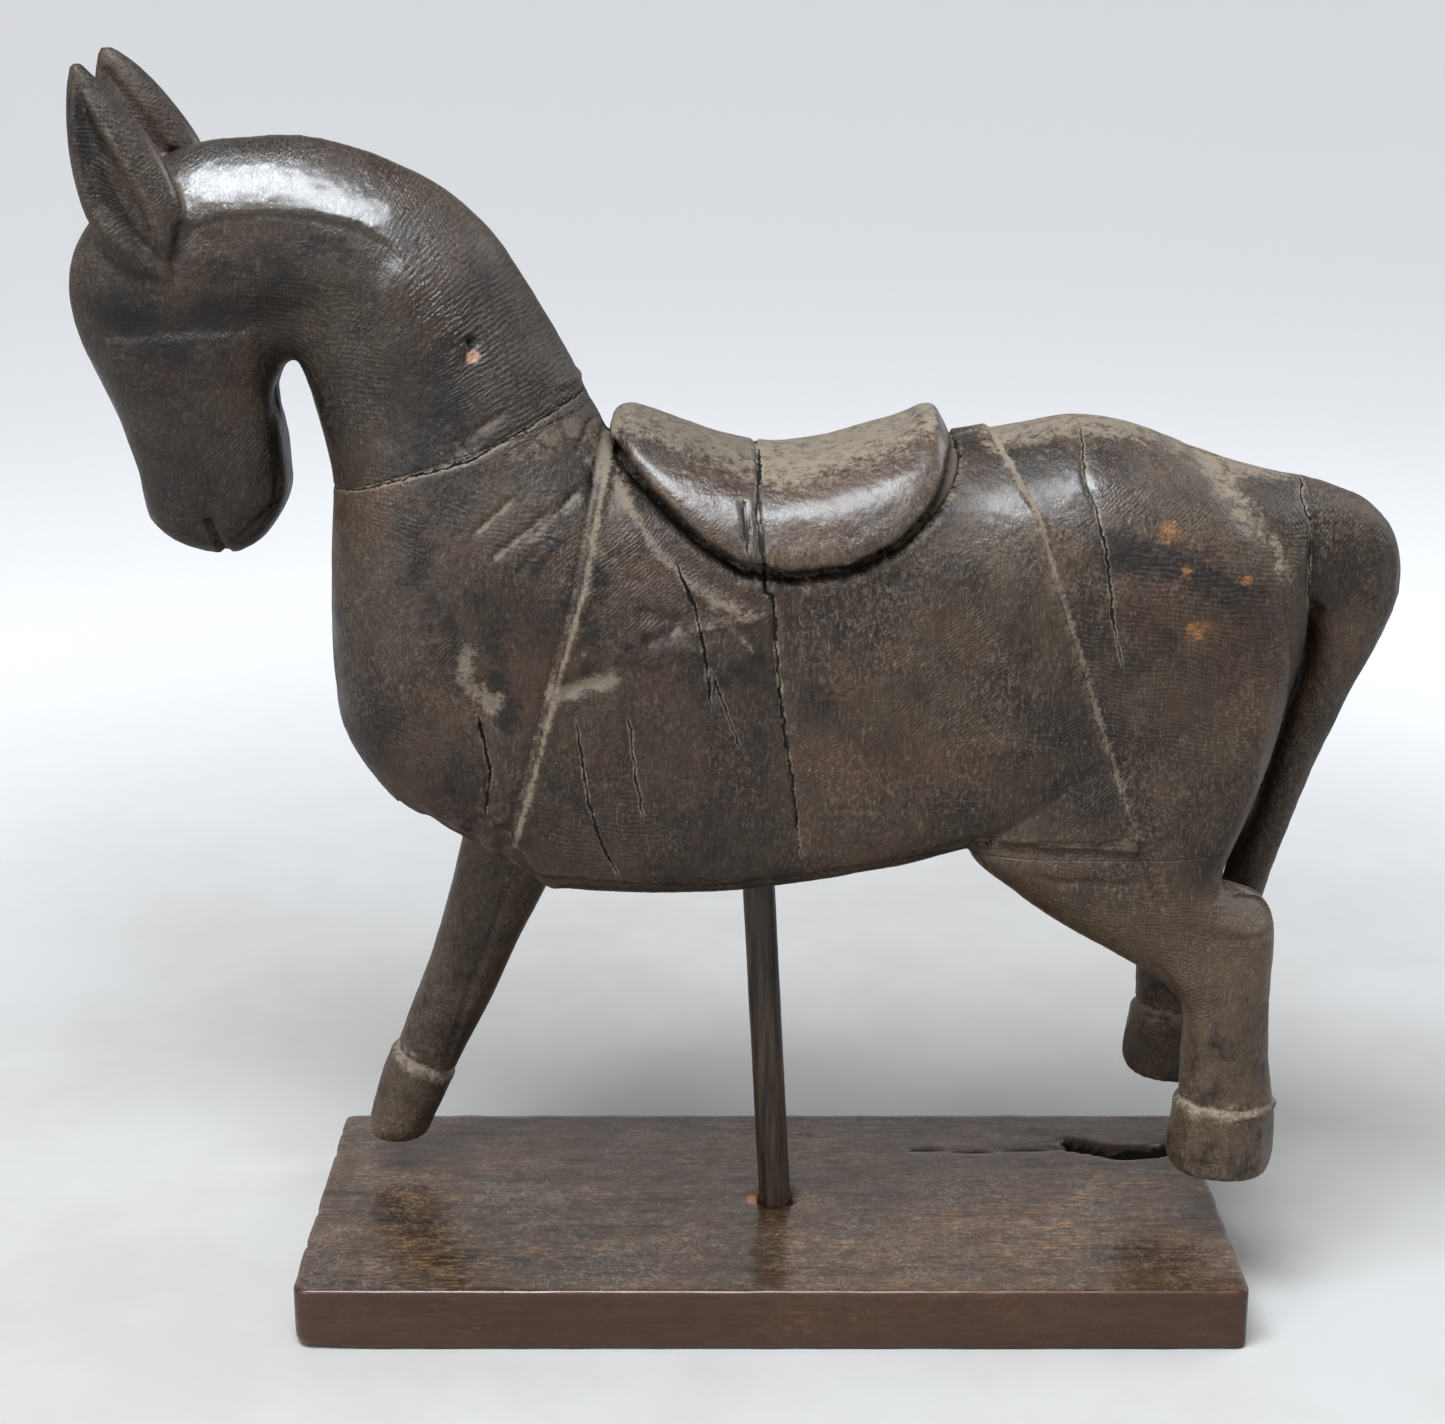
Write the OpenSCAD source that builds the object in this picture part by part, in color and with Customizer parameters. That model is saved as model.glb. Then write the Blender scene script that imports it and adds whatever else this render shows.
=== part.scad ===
// Carved wooden horse on a round rod over a rectangular board. Millimetres, +Z up,
// origin at the centre of the underside of the board, the horse looks towards -X.

/* [Board] */
// length of the board, head end to tail end
board_length = 306; // [240:1:360]
// depth of the board, near edge to far edge
board_depth = 129; // [90:1:160]
// thickness of the board
board_thickness = 21; // [12:1:30]
// radius of the upright corners of the board
board_corner = 3; // [1:0.5:12]
// bevel along the top and bottom edges of the board
board_bevel = 1; // [0.5:0.5:4]

/* [Rod] */
// diameter of the round rod that carries the horse
rod_diameter = 11; // [8:0.5:16]
// lean of the rod towards the head, in degrees
rod_lean = 3; // [0:0.5:6]
// place of the rod along the board, at the top face of the board
rod_place = 2.5; // [-10:0.5:10]
// play between the rod and the hole in the board, on each side
rod_play = 0.7; // [0.3:0.05:1.2]
// depth of the hole in the board
rod_hole_depth = 15; // [8:1:17]
// depth of the rod inside the belly
rod_belly_depth = 42; // [20:1:60]

/* [Carving] */
// how far the saddle cloth stands out of the body
cloth_thickness = 1.4; // [0.6:0.2:3]
// distance of each leg from the middle of the body
leg_offset = 26; // [20:0.5:30]
// how far the right hind leg is carried forward
right_hind_forward = 7; // [0:1:15]
// how far the right hind leg is lifted
right_hind_lift = 11; // [0:1:20]

/* [Dowels] */
// diameter of the dowels in the neck, barrel and legs
dowel_diameter = 10; // [6:0.5:14]
// diameter of the dowel in the tail
tail_dowel_diameter = 8; // [5:0.5:10]

/* [Hidden] */
ring_sides = 28;
round_sides = 48;
far_away = 600;
belly_height = 128;
rod_length = belly_height + rod_belly_depth;
rod_floor_gap = 0.3;

// the neck joint is a flat cut, sloping down to the chest
neck_joint_x = -98;
neck_joint_z = 262;
neck_joint_slope = 18;
neck_dowel_half = 30;

// the barrel joint is a nearly upright flat cut under the saddle
barrel_joint_x = 2;
barrel_joint_z = 196;
barrel_joint_slope = 6.5;
barrel_dowel_half = 28;
barrel_dowel_y = 20;

// the seats of the forelegs slope along the underside of the chest
foreleg_seat_x = -85;
foreleg_seat_z = 134;
foreleg_seat_slope = 31.5;
foreleg_dowel_half = 20;

// the hind legs meet the body on a level cut
hind_seat_z = 138;
hind_dowel_x = 120;
hind_dowel_low = 118;
hind_dowel_high = 163;

// the tail meets the rump on an upright cut
tail_joint_x = 167;
tail_dowel_z = 229;
tail_dowel_half = 19;

// Each row of a form is one cross-section: outer edge x, z, inner edge x, z, half width,
// place of the widest level, roundness of the outer half, roundness of the inner half, y.
// Heights are above the top face of the board.
head_rows = [
    [-182, 228.5, -168, 227.5, 7, 0.5, 2.4, 2.4, 0],
    [-189.5, 232, -161, 231.5, 12, 0.5, 2.4, 2.6, 0],
    [-195.5, 238, -155, 239, 14.6, 0.5, 2.6, 3, 0],
    [-197, 245, -151.5, 247, 15.8, 0.5, 2.8, 3.4, 0],
    [-198, 253, -151.5, 254, 16, 0.5, 2.8, 3.6, 0],
    [-200.5, 262, -152, 262, 16.5, 0.5, 2.8, 3.8, 0],
    [-204, 272, -153, 271, 17, 0.5, 2.6, 3.8, 0],
    [-208.5, 283, -154, 279, 18, 0.52, 2.6, 3.6, 0],
    [-213.8, 297, -152.5, 284, 19.5, 0.55, 2.6, 3.2, 0],
    [-215.8, 310, -151, 286.5, 20.5, 0.58, 2.6, 2.8, 0],
    [-213.2, 323, -149.5, 287.5, 21, 0.6, 2.5, 2.6, 0],
    [-204, 336, -148.5, 288, 21, 0.62, 2.2, 2.6, 0],
    [-192, 346, -147.8, 288, 20.5, 0.64, 1.8, 2.6, 0],
    [-176, 353.5, -147.3, 288, 20, 0.66, 1.5, 2.6, 0],
    [-160, 355.5, -147, 288, 20, 0.66, 1.4, 2.6, 0],
    [-143, 356, -146.5, 287.5, 20.5, 0.65, 1.4, 2.6, 0],
    [-127, 352.5, -145.8, 286.2, 21.5, 0.64, 1.4, 2.6, 0],
    [-110, 346, -144.8, 284, 22.5, 0.62, 1.5, 2.6, 0],
    [-95, 336.5, -143.4, 280, 24, 0.6, 1.5, 2.6, 0],
    [-82, 322, -141.5, 273, 26, 0.58, 1.6, 2.6, 0],
    [-71, 304, -139.5, 265, 28, 0.56, 1.7, 2.6, 0],
    [-62.5, 289, -138, 257, 30, 0.54, 1.9, 2.6, 0],
    [-57.5, 278, -137.5, 249, 32, 0.52, 2, 2.6, 0],
];
body_rows = [
    [-54, 271, -138.5, 231, 35, 0.5, 2.2, 2.8, 0],
    [-52, 267, -139.5, 211, 38, 0.5, 2.3, 3, 0],
    [-50, 264, -139, 191, 40.5, 0.5, 2.4, 3, 0],
    [-47.5, 262, -136, 174, 42, 0.5, 2.4, 3.4, 0],
    [-44, 260.5, -127.5, 159.5, 42.5, 0.5, 2.4, 3.8, 0],
    [-40, 259.5, -115, 147.5, 43, 0.5, 2.4, 4.6, 0],
    [-35, 258.5, -99, 140.5, 43, 0.5, 2.4, 5.4, 0],
    [-30, 258, -83, 132, 43, 0.5, 2.4, 6.5, 0],
    [-24, 257.5, -69, 124.5, 43, 0.5, 2.4, 7, 0],
    [-15, 257, -45, 122.5, 43.2, 0.5, 2.4, 7, 0],
    [0, 257, -12, 123, 43.4, 0.5, 2.4, 7, 0],
    [20, 258, 15, 126.5, 43.5, 0.5, 2.4, 7, 0],
    [42, 260, 41, 131.5, 43.5, 0.5, 2.3, 7, 0],
    [60, 264.5, 61, 137, 43.5, 0.5, 2.2, 7, 0],
    [76, 267, 77, 140, 43.5, 0.5, 2.2, 6, 0],
    [94, 270.3, 96, 141, 43.5, 0.5, 2.2, 4.2, 0],
    [112, 268, 116, 141, 43, 0.5, 2.2, 4, 0],
    [130, 261.5, 134, 142, 41, 0.5, 2.2, 3.6, 0],
    [146, 255.5, 149, 148, 37, 0.52, 2.2, 3, 0],
    [157, 252.5, 159, 163, 30, 0.55, 2.2, 2.6, 0],
    [166, 251, 166.5, 186, 22, 0.55, 2.2, 2.4, 0],
    [174, 249.5, 172, 203, 17, 0.55, 2.2, 2.4, 0],
];
core_rows = concat(head_rows, body_rows);

left_ear_rows = [
    [-199, 319, -176, 314, 5, 0.5, 2, 2, -17],
    [-204.5, 331, -176, 326, 7, 0.5, 2, 2, -18],
    [-208, 344, -176.5, 337, 7.5, 0.5, 2, 2, -18.5],
    [-209.3, 356, -182, 352, 7, 0.5, 2, 2, -18.5],
    [-209, 367, -191, 364, 5.5, 0.5, 2, 2, -18.5],
    [-208, 374, -199.5, 373.5, 3.5, 0.5, 2, 2, -18.5],
    [-206.8, 378, -203.8, 378, 1.6, 0.5, 2, 2, -18.5],
];
right_ear_rows = [
    [-199, 319, -176, 314, 5, 0.5, 2, 2, 17],
    [-204.5, 331, -175, 327, 7, 0.5, 2, 2, 18],
    [-208, 344, -173.5, 339, 7.5, 0.5, 2, 2, 18.5],
    [-209.3, 356, -178, 354, 7, 0.5, 2, 2, 18.5],
    [-209, 368, -187, 367, 5.5, 0.5, 2, 2, 18.5],
    [-208, 376, -196, 376.5, 3.6, 0.5, 2, 2, 18.5],
    [-206.6, 381, -202.4, 381, 1.6, 0.5, 2, 2, 18.5],
];
saddle_rows = [
    [-50, 262, -50, 181, 24, 0.5, 2.7, 3, 0],
    [-48.5, 271.5, -48, 181, 28, 0.5, 2.7, 3, 0],
    [-44, 273.3, -44, 181, 33, 0.5, 2.7, 3, 0],
    [-37, 271, -37, 181, 38, 0.5, 2.7, 3, 0],
    [-27, 267.3, -27, 181, 42, 0.5, 2.7, 3, 0],
    [-14, 262.8, -14, 181, 44.5, 0.5, 2.7, 3, 0],
    [0, 260.4, 0, 181, 45.8, 0.5, 2.7, 3, 0],
    [14, 262, 14, 181, 46, 0.5, 2.7, 3, 0],
    [30, 266.2, 30, 181, 45, 0.5, 2.7, 3, 0],
    [41, 269.8, 41, 181, 42.5, 0.5, 2.7, 3, 0],
    [48, 273, 48, 181, 38.5, 0.5, 2.7, 3, 0],
    [52, 271.8, 52.5, 181, 34, 0.5, 2.7, 3, 0],
    [55, 264.5, 55, 181, 30, 0.5, 2.7, 3, 0],
];
foreleg_rows = [
    [-138.2, 14, -118, 14, 12.6, 0.5, 2.2, 2.4, 0],
    [-138.2, 19, -116.5, 17.5, 13.8, 0.5, 2.2, 2.4, 0],
    [-136, 27.5, -113.8, 23.5, 14, 0.5, 2.2, 2.4, 0],
    [-132, 40, -110.5, 31, 13.4, 0.5, 2.2, 2.4, 0],
    [-128.2, 46, -108.5, 37, 11.8, 0.5, 2.2, 2.4, 0],
    [-127, 49.5, -106.8, 40, 11.4, 0.5, 2.2, 2.4, 0],
    [-122.8, 61, -101, 51.5, 11.6, 0.5, 2.4, 2.6, 0],
    [-117, 75, -94.5, 64, 11.8, 0.5, 2.6, 2.6, 0],
    [-111.2, 92, -87.5, 79.5, 12, 0.5, 2.8, 2.6, 0],
    [-106, 110, -80.5, 95, 12.4, 0.5, 2.8, 2.6, 0],
    [-102.3, 126, -74, 107, 12.8, 0.5, 2.8, 2.6, 0],
    [-100.5, 143, -66, 121, 13, 0.5, 2.6, 2.6, 0],
    [-100, 161, -62, 141, 13, 0.5, 2.6, 2.6, 0],
];
hind_leg_rows = [
    [132.5, 26, 164, 26, 14, 0.5, 2.1, 2.1, 0],
    [130.5, 30, 166, 30, 15.2, 0.5, 2.1, 2.1, 0],
    [130.8, 37, 166.2, 37, 15.2, 0.5, 2.1, 2.1, 0],
    [132.5, 47, 165.4, 47, 14.4, 0.5, 2.1, 2.1, 0],
    [133.8, 52.5, 164, 52.5, 12.8, 0.5, 2.2, 2.2, 0],
    [134, 58, 163, 58, 12.3, 0.5, 2.4, 2.4, 0],
    [134, 65, 161.8, 67, 12, 0.5, 2.6, 2.6, 0],
    [134, 74, 161, 79.5, 12.2, 0.5, 2.6, 2.6, 0],
    [132.5, 83, 161, 94, 12.5, 0.5, 2.6, 2.6, 0],
    [127, 90.5, 161.3, 106.5, 12.8, 0.5, 2.8, 2.6, 0],
    [118, 97, 160, 115.5, 13.2, 0.5, 2.8, 2.6, 0],
    [108, 103, 155.5, 120.8, 14.2, 0.5, 2.8, 2.6, 0],
    [98, 109, 149, 122.8, 15, 0.5, 2.8, 2.6, 0],
    [88, 115.5, 144, 124.5, 16, 0.5, 2.8, 2.6, 0],
    [76, 124.5, 144, 132, 17, 0.5, 3, 2.6, 0],
    [62.5, 137, 150, 147, 17.8, 0.5, 3, 2.6, 0],
    [68, 153, 159, 177, 17, 0.5, 2.8, 2.6, 0],
    [84, 181, 161, 203, 12.5, 0.5, 2.8, 2.6, 0],
];
tail_rows = [
    [160, 253, 160, 205, 17.5, 0.5, 2.2, 2.4, 0],
    [170, 250.5, 167.5, 207, 17, 0.5, 2.2, 2.6, 0],
    [180, 247, 169, 206, 16.5, 0.5, 2.2, 2.6, 0],
    [189, 242.5, 170, 204, 16, 0.5, 2.2, 2.6, 0],
    [196, 235, 170.5, 201.5, 15.5, 0.5, 2.2, 2.6, 0],
    [199, 226, 170.5, 198, 15, 0.5, 2.2, 2.6, 0],
    [199, 215, 170, 192, 14.6, 0.5, 2.2, 2.6, 0],
    [195.5, 203, 168.8, 185, 14.2, 0.5, 2.2, 2.6, 0],
    [188.3, 187, 165.5, 173, 13.4, 0.5, 2.2, 2.6, 0],
    [180.6, 168, 161, 157, 12.6, 0.5, 2.2, 2.6, 0],
    [172.8, 146, 156, 138, 11.8, 0.5, 2.2, 2.6, 0],
    [166.4, 127, 151.5, 122, 10.8, 0.5, 2.2, 2.6, 0],
    [162.2, 111, 149, 109, 9.4, 0.5, 2.2, 2.4, 0],
    [158.5, 97, 149.5, 97, 6.5, 0.5, 2.2, 2.2, 0],
];

// outline of the saddle cloth, seen from the side
cloth_outline = [
    [-48, 291], [-50, 265], [-53, 247], [-57, 225], [-64.5, 197], [-72, 171], [-80, 143],
    [-79.5, 138], [-75, 134.5], [-47, 132], [-20, 133.5], [10, 136], [40, 139], [67, 141],
    [116, 141.5], [113, 149], [104, 178], [93.5, 203], [87, 222], [83, 237], [79, 249],
    [72, 259], [67, 266], [66.5, 291],
];
// outline of the saddle, seen from the side
saddle_outline = [
    [-51, 291], [-50, 269], [-44, 261], [-34, 251], [-22, 240.5], [-10, 233.5], [5, 231],
    [23, 233], [38, 240], [48, 249.5], [53.5, 258], [56, 267], [56, 291],
];

// a smooth value between rows b and c, with neighbours a and d
function ease(a, b, c, d, t) =
    0.5 * (2 * b + (c - a) * t + (2 * a - 5 * b + 4 * c - d) * t * t + (3 * b - a - 3 * c + d) * t * t * t);

// the row at a place in the list, held at both ends
function row_at(rows, i) = rows[max(0, min(len(rows) - 1, i))];

// the rows with extra smooth rows put between them
function finer(rows, steps) = [
    for (i = [0:len(rows) - 2])
        for (k = [0:steps - 1])
            ease(row_at(rows, i - 1), rows[i], rows[i + 1], row_at(rows, i + 2), k / steps),
    rows[len(rows) - 1]
];

function part_of(rows, first, last) = [for (i = [first:last]) rows[i]];

function thicker(rows, extra) = [
    for (r = rows)
        let (along = [r[0] - r[2], r[1] - r[3]])
        let (step = along * extra / norm(along))
        [r[0] + step[0], r[1] + step[1], r[2], r[3], r[4] + extra, r[5], r[6], r[7], r[8]]
];

// distance from the middle of a rounded square to its rim in the direction of an angle
function rim(angle, roundness) =
    pow(pow(abs(cos(angle)), roundness) + pow(abs(sin(angle)), roundness), -1 / roundness);

function ring_point(r, angle) =
    let (out = cos(angle) * rim(angle, cos(angle) >= 0 ? r[6] : r[7]))
    let (side = sin(angle) * rim(angle, cos(angle) >= 0 ? r[6] : r[7]))
    let (level = r[5] + (out >= 0 ? out * (1 - r[5]) : out * r[5]))
    [r[2] + (r[0] - r[2]) * level, r[8] + r[4] * side, r[3] + (r[1] - r[3]) * level];

// a solid through a list of cross-sections
module form(rows, sides = ring_sides) {
    last = len(rows) - 1;
    points = [for (r = rows) for (k = [0:sides - 1]) ring_point(r, k * 360 / sides)];
    walls = [
        for (i = [0:last - 1])
            for (k = [0:sides - 1])
                let (n = (k + 1) % sides)
                each [
                    [i * sides + k, i * sides + n, (i + 1) * sides + n],
                    [i * sides + k, (i + 1) * sides + n, (i + 1) * sides + k]
                ]
    ];
    first_cap = [for (k = [sides - 1:-1:0]) k];
    last_cap = [for (k = [0:sides - 1]) last * sides + k];
    polyhedron(points = points, faces = concat(walls, [first_cap, last_cap]));
}

module slab(outline) {
    rotate([90, 0, 0])
        linear_extrude(height = 120, center = true)
            polygon(outline);
}

// everything above a flat cut through the point x, z, rising towards +X by the slope
module above(x, z, slope) {
    translate([x, 0, z])
        rotate([0, -slope, 0])
            translate([-far_away / 2, -far_away / 2, 0])
                cube(far_away);
}

module below(x, z, slope) {
    translate([x, 0, z])
        rotate([0, -slope, 0])
            translate([-far_away / 2, -far_away / 2, -far_away])
                cube(far_away);
}

// a round bar centred on x, y, z, tilted from upright towards +X
module bar(x, y, z, tilt, diameter, half) {
    translate([x, y, z])
        rotate([0, tilt, 0])
            cylinder(d = diameter, h = 2 * half, center = true, $fn = round_sides);
}

core = finer(core_rows, 2);
neck_ring = 2 * (len(head_rows) - 1);
last_ring = len(core) - 1;
barrel_ring = neck_ring + 2 * 11;

// the figure stands on the top face of the board, where its heights are measured from
module on_board() {
    translate([0, 0, board_thickness])
        children();
}

module rod_shape(extra_diameter, low, high) {
    translate([rod_place, 0, 0])
        rotate([0, -rod_lean, 0])
            translate([0, 0, low])
                cylinder(d = rod_diameter + extra_diameter, h = high - low, $fn = round_sides);
}

module base_board() {
    color([0.24, 0.19, 0.16])
        difference() {
            intersection() {
                linear_extrude(height = board_thickness)
                    offset(r = board_corner)
                        square([board_length - 2 * board_corner, board_depth - 2 * board_corner], center = true);
                rotate([90, 0, 0])
                    linear_extrude(height = far_away, center = true)
                        bevelled(board_length);
                rotate([90, 0, 90])
                    linear_extrude(height = far_away, center = true)
                        bevelled(board_depth);
            }
            on_board()
                rod_shape(2 * rod_play, -rod_hole_depth, 5);
        }
}

// a board's section of a given width, with its four long edges bevelled
module bevelled(width) {
    polygon([
        [-width / 2 + board_bevel, 0], [width / 2 - board_bevel, 0],
        [width / 2, board_bevel], [width / 2, board_thickness - board_bevel],
        [width / 2 - board_bevel, board_thickness], [-width / 2 + board_bevel, board_thickness],
        [-width / 2, board_thickness - board_bevel], [-width / 2, board_bevel]
    ]);
}

module support_rod() {
    color([0.2, 0.16, 0.14]) on_board()
        rod_shape(0, rod_floor_gap - rod_hole_depth, rod_length);
}

module barrel_dowel_pair(diameter, half) {
    for (side = [-1, 1])
        bar(barrel_joint_x, side * barrel_dowel_y, barrel_joint_z, 90 - barrel_joint_slope, diameter, half);
}

module saddle() {
    intersection() {
        form(saddle_rows);
        slab(saddle_outline);
    }
}

module cloth(first, last) {
    intersection() {
        form(part_of(thicker(core, cloth_thickness), first, last));
        slab(cloth_outline);
    }
}

module forequarters() {
    color([0.3, 0.24, 0.2]) on_board()
        difference() {
            union() {
                form(part_of(core, neck_ring - 4, barrel_ring + 6));
                cloth(neck_ring - 1, barrel_ring + 6);
                saddle();
            }
            above(neck_joint_x, neck_joint_z, neck_joint_slope);
            barrel_cut(1);
            foreleg_seats();
            bar(neck_joint_x, 0, neck_joint_z, -neck_joint_slope, dowel_diameter, neck_dowel_half);
            barrel_dowel_pair(dowel_diameter, barrel_dowel_half);
            foreleg_pegs(-1);
            foreleg_pegs(1);
            rod_shape(0, 100, rod_length);
        }
}

// the space behind (1) or in front of (-1) the barrel joint
module barrel_cut(side) {
    translate([barrel_joint_x, 0, barrel_joint_z])
        rotate([0, -barrel_joint_slope, 0])
            translate([side * far_away / 2, 0, 0])
                cube(far_away, center = true);
}

// the flat seats under the chest, one for each foreleg
module foreleg_seats() {
    intersection() {
        below(foreleg_seat_x, foreleg_seat_z, -foreleg_seat_slope);
        translate([-118, -60, 100])
            cube([54, 120, 60]);
    }
}

module foreleg_pegs(side) {
    bar(foreleg_seat_x, side * leg_offset, foreleg_seat_z, foreleg_seat_slope, dowel_diameter, foreleg_dowel_half);
}

module hind_leg_form(side, forward, lift) {
    translate([-forward, side * leg_offset, lift])
        form(finer(hind_leg_rows, 2), 20);
}

// the level seats behind the belly, for both hind legs
module hind_seats() {
    translate([63, -60, hind_seat_z - 40])
        cube([110, 120, 40]);
}

module hind_pegs(side) {
    translate([hind_dowel_x, side * leg_offset, hind_dowel_low])
        cylinder(d = dowel_diameter, h = hind_dowel_high - hind_dowel_low, $fn = round_sides);
}

module hindquarters() {
    color([0.3, 0.24, 0.2]) on_board()
        difference() {
            union() {
                form(part_of(core, barrel_ring - 6, last_ring));
                cloth(barrel_ring - 6, last_ring);
                saddle();
                intersection() {
                    union() {
                        hind_leg_form(-1, 0, 0);
                        hind_leg_form(1, right_hind_forward, right_hind_lift);
                    }
                    above(0, hind_seat_z, 0);
                }
            }
            barrel_cut(-1);
            hind_seats();
            translate([tail_joint_x, -50, 60])
                cube([60, 100, 250]);
            barrel_dowel_pair(dowel_diameter, barrel_dowel_half);
            hind_pegs(-1);
            hind_pegs(1);
            bar(tail_joint_x, 0, tail_dowel_z, 90, tail_dowel_diameter, tail_dowel_half);
        }
}

// everything below the neck joint, behind the muzzle
module neck_seat() {
    intersection() {
        below(neck_joint_x, neck_joint_z, neck_joint_slope);
        translate([-146.5, -60, 150])
            cube([120, 120, 150]);
    }
}

module head_and_neck() {
    color([0.3, 0.24, 0.2]) on_board()
        difference() {
            union() {
                form(part_of(core, 0, neck_ring + 4));
                form(finer(left_ear_rows, 2), 16);
                form(finer(right_ear_rows, 2), 16);
            }
            neck_seat();
            bar(neck_joint_x, 0, neck_joint_z, -neck_joint_slope, dowel_diameter, neck_dowel_half);
        }
}

module right_foreleg() {
    color([0.27, 0.22, 0.19]) on_board()
        difference() {
            intersection() {
                translate([0, leg_offset, 0])
                    form(finer(foreleg_rows, 2), 20);
                below(foreleg_seat_x, foreleg_seat_z, -foreleg_seat_slope);
            }
            foreleg_pegs(1);
        }
}

module hind_leg(side, forward, lift) {
    difference() {
        intersection() {
            hind_leg_form(side, forward, lift);
            below(0, hind_seat_z, 0);
        }
        hind_pegs(side);
    }
}

module left_hind_leg() {
    color([0.27, 0.22, 0.19]) on_board()
        hind_leg(-1, 0, 0);
}

module right_hind_leg() {
    color([0.27, 0.22, 0.19]) on_board()
        hind_leg(1, right_hind_forward, right_hind_lift);
}

module tail() {
    color([0.27, 0.22, 0.19]) on_board()
        difference() {
            form(finer(tail_rows, 2), 24);
            translate([tail_joint_x - 60, -50, 180])
                cube([60, 100, 120]);
            bar(tail_joint_x, 0, tail_dowel_z, 90, tail_dowel_diameter, tail_dowel_half);
        }
}

module neck_dowel() {
    color([0.5, 0.38, 0.27]) on_board()
        bar(neck_joint_x, 0, neck_joint_z, -neck_joint_slope, dowel_diameter, neck_dowel_half);
}

module barrel_dowels() {
    color([0.5, 0.38, 0.27]) on_board()
        barrel_dowel_pair(dowel_diameter, barrel_dowel_half);
}

module foreleg_dowel() {
    color([0.5, 0.38, 0.27]) on_board()
        foreleg_pegs(1);
}

module hind_leg_dowels() {
    color([0.5, 0.38, 0.27]) on_board() {
        hind_pegs(-1);
        hind_pegs(1);
    }
}

module tail_dowel() {
    color([0.5, 0.38, 0.27]) on_board()
        bar(tail_joint_x, 0, tail_dowel_z, 90, tail_dowel_diameter, tail_dowel_half);
}

base_board();
support_rod();
forequarters();
hindquarters();
head_and_neck();
right_foreleg();
left_hind_leg();
right_hind_leg();
tail();
neck_dowel();
barrel_dowels();
foreleg_dowel();
hind_leg_dowels();
tail_dowel();
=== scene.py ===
# A carved wooden horse, dark with age, on a round rod over a plain board.
# Sculpting is done in millimetres, with heights measured above the top of the board.
import math
import bpy
import numpy as np
from mathutils import Matrix


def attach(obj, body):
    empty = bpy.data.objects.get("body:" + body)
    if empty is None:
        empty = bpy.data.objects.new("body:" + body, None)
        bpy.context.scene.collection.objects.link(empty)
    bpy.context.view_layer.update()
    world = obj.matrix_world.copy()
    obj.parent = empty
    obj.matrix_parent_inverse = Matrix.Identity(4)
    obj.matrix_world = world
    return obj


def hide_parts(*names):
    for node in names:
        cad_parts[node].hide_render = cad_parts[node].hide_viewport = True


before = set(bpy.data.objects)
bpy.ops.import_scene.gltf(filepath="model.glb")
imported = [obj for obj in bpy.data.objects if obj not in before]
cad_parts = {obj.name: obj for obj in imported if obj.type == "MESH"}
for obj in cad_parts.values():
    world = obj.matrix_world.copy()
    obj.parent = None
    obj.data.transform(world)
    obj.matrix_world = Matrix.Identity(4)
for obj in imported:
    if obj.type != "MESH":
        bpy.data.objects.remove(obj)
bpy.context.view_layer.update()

mm = 0.001
boardTop = 21.0

viewpoint = {"place": (-0.0154, -0.8043, 0.4376), "tilt": 73.18, "lens": 64.775, "sensor": 36.0}


def placeCamera():
    data = bpy.data.cameras.new("viewCamera")
    data.sensor_fit = "HORIZONTAL"
    data.sensor_width = viewpoint["sensor"]
    data.lens = viewpoint["lens"]
    data.clip_start = 0.01
    data.clip_end = 60
    camera = bpy.data.objects.new("viewCamera", data)
    bpy.context.scene.collection.objects.link(camera)
    camera.location = viewpoint["place"]
    camera.rotation_euler = (math.radians(viewpoint["tilt"]), 0, 0)
    bpy.context.scene.camera = camera


placeCamera()
print("camera placed")

# The tools that shape, cut and measure.


def smooth(low, high, value):
    t = np.clip((value - low) / (high - low), 0, 1)
    return t * t * (3 - 2 * t)


lattice = np.random.RandomState(11).uniform(-1, 1, (32, 32, 32))


def wander(points, size, shift=0.0):  # soft noise from -1 to 1, of a given grain size
    q = points / size + shift
    base = np.floor(q).astype(int)
    f = q - base
    f = f * f * (3 - 2 * f)
    total = 0
    for i in (0, 1):
        wx = f[:, 0] if i else 1 - f[:, 0]
        for j in (0, 1):
            wy = f[:, 1] if j else 1 - f[:, 1]
            for k in (0, 1):
                wz = f[:, 2] if k else 1 - f[:, 2]
                total = total + wx * wy * wz * lattice[(base[:, 0] + i) % 32, (base[:, 1] + j) % 32,
                        (base[:, 2] + k) % 32]
    return total


def fromPath(flat, path):  # distance from a line of points, its side, and the share of the way along
    path = np.array(path, float)
    step = np.hypot(*(path[1:] - path[:-1]).T)
    start = np.concatenate([[0], np.cumsum(step)])
    best = np.full(len(flat), 1e9)
    side = np.ones(len(flat))
    share = np.zeros(len(flat))
    for a, b, size, before in zip(path[:-1], path[1:], step, start):
        along = b - a
        offset = flat - a
        t = np.clip(offset @ along / size ** 2, 0, 1)
        away = np.hypot(*(offset - t[:, None] * along).T)
        closer = away < best
        best[closer] = away[closer]
        side[closer] = np.sign(along[0] * offset[closer, 1] - along[1] * offset[closer, 0])
        share[closer] = (before + t[closer] * size) / start[-1]
    return best, side, share


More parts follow.
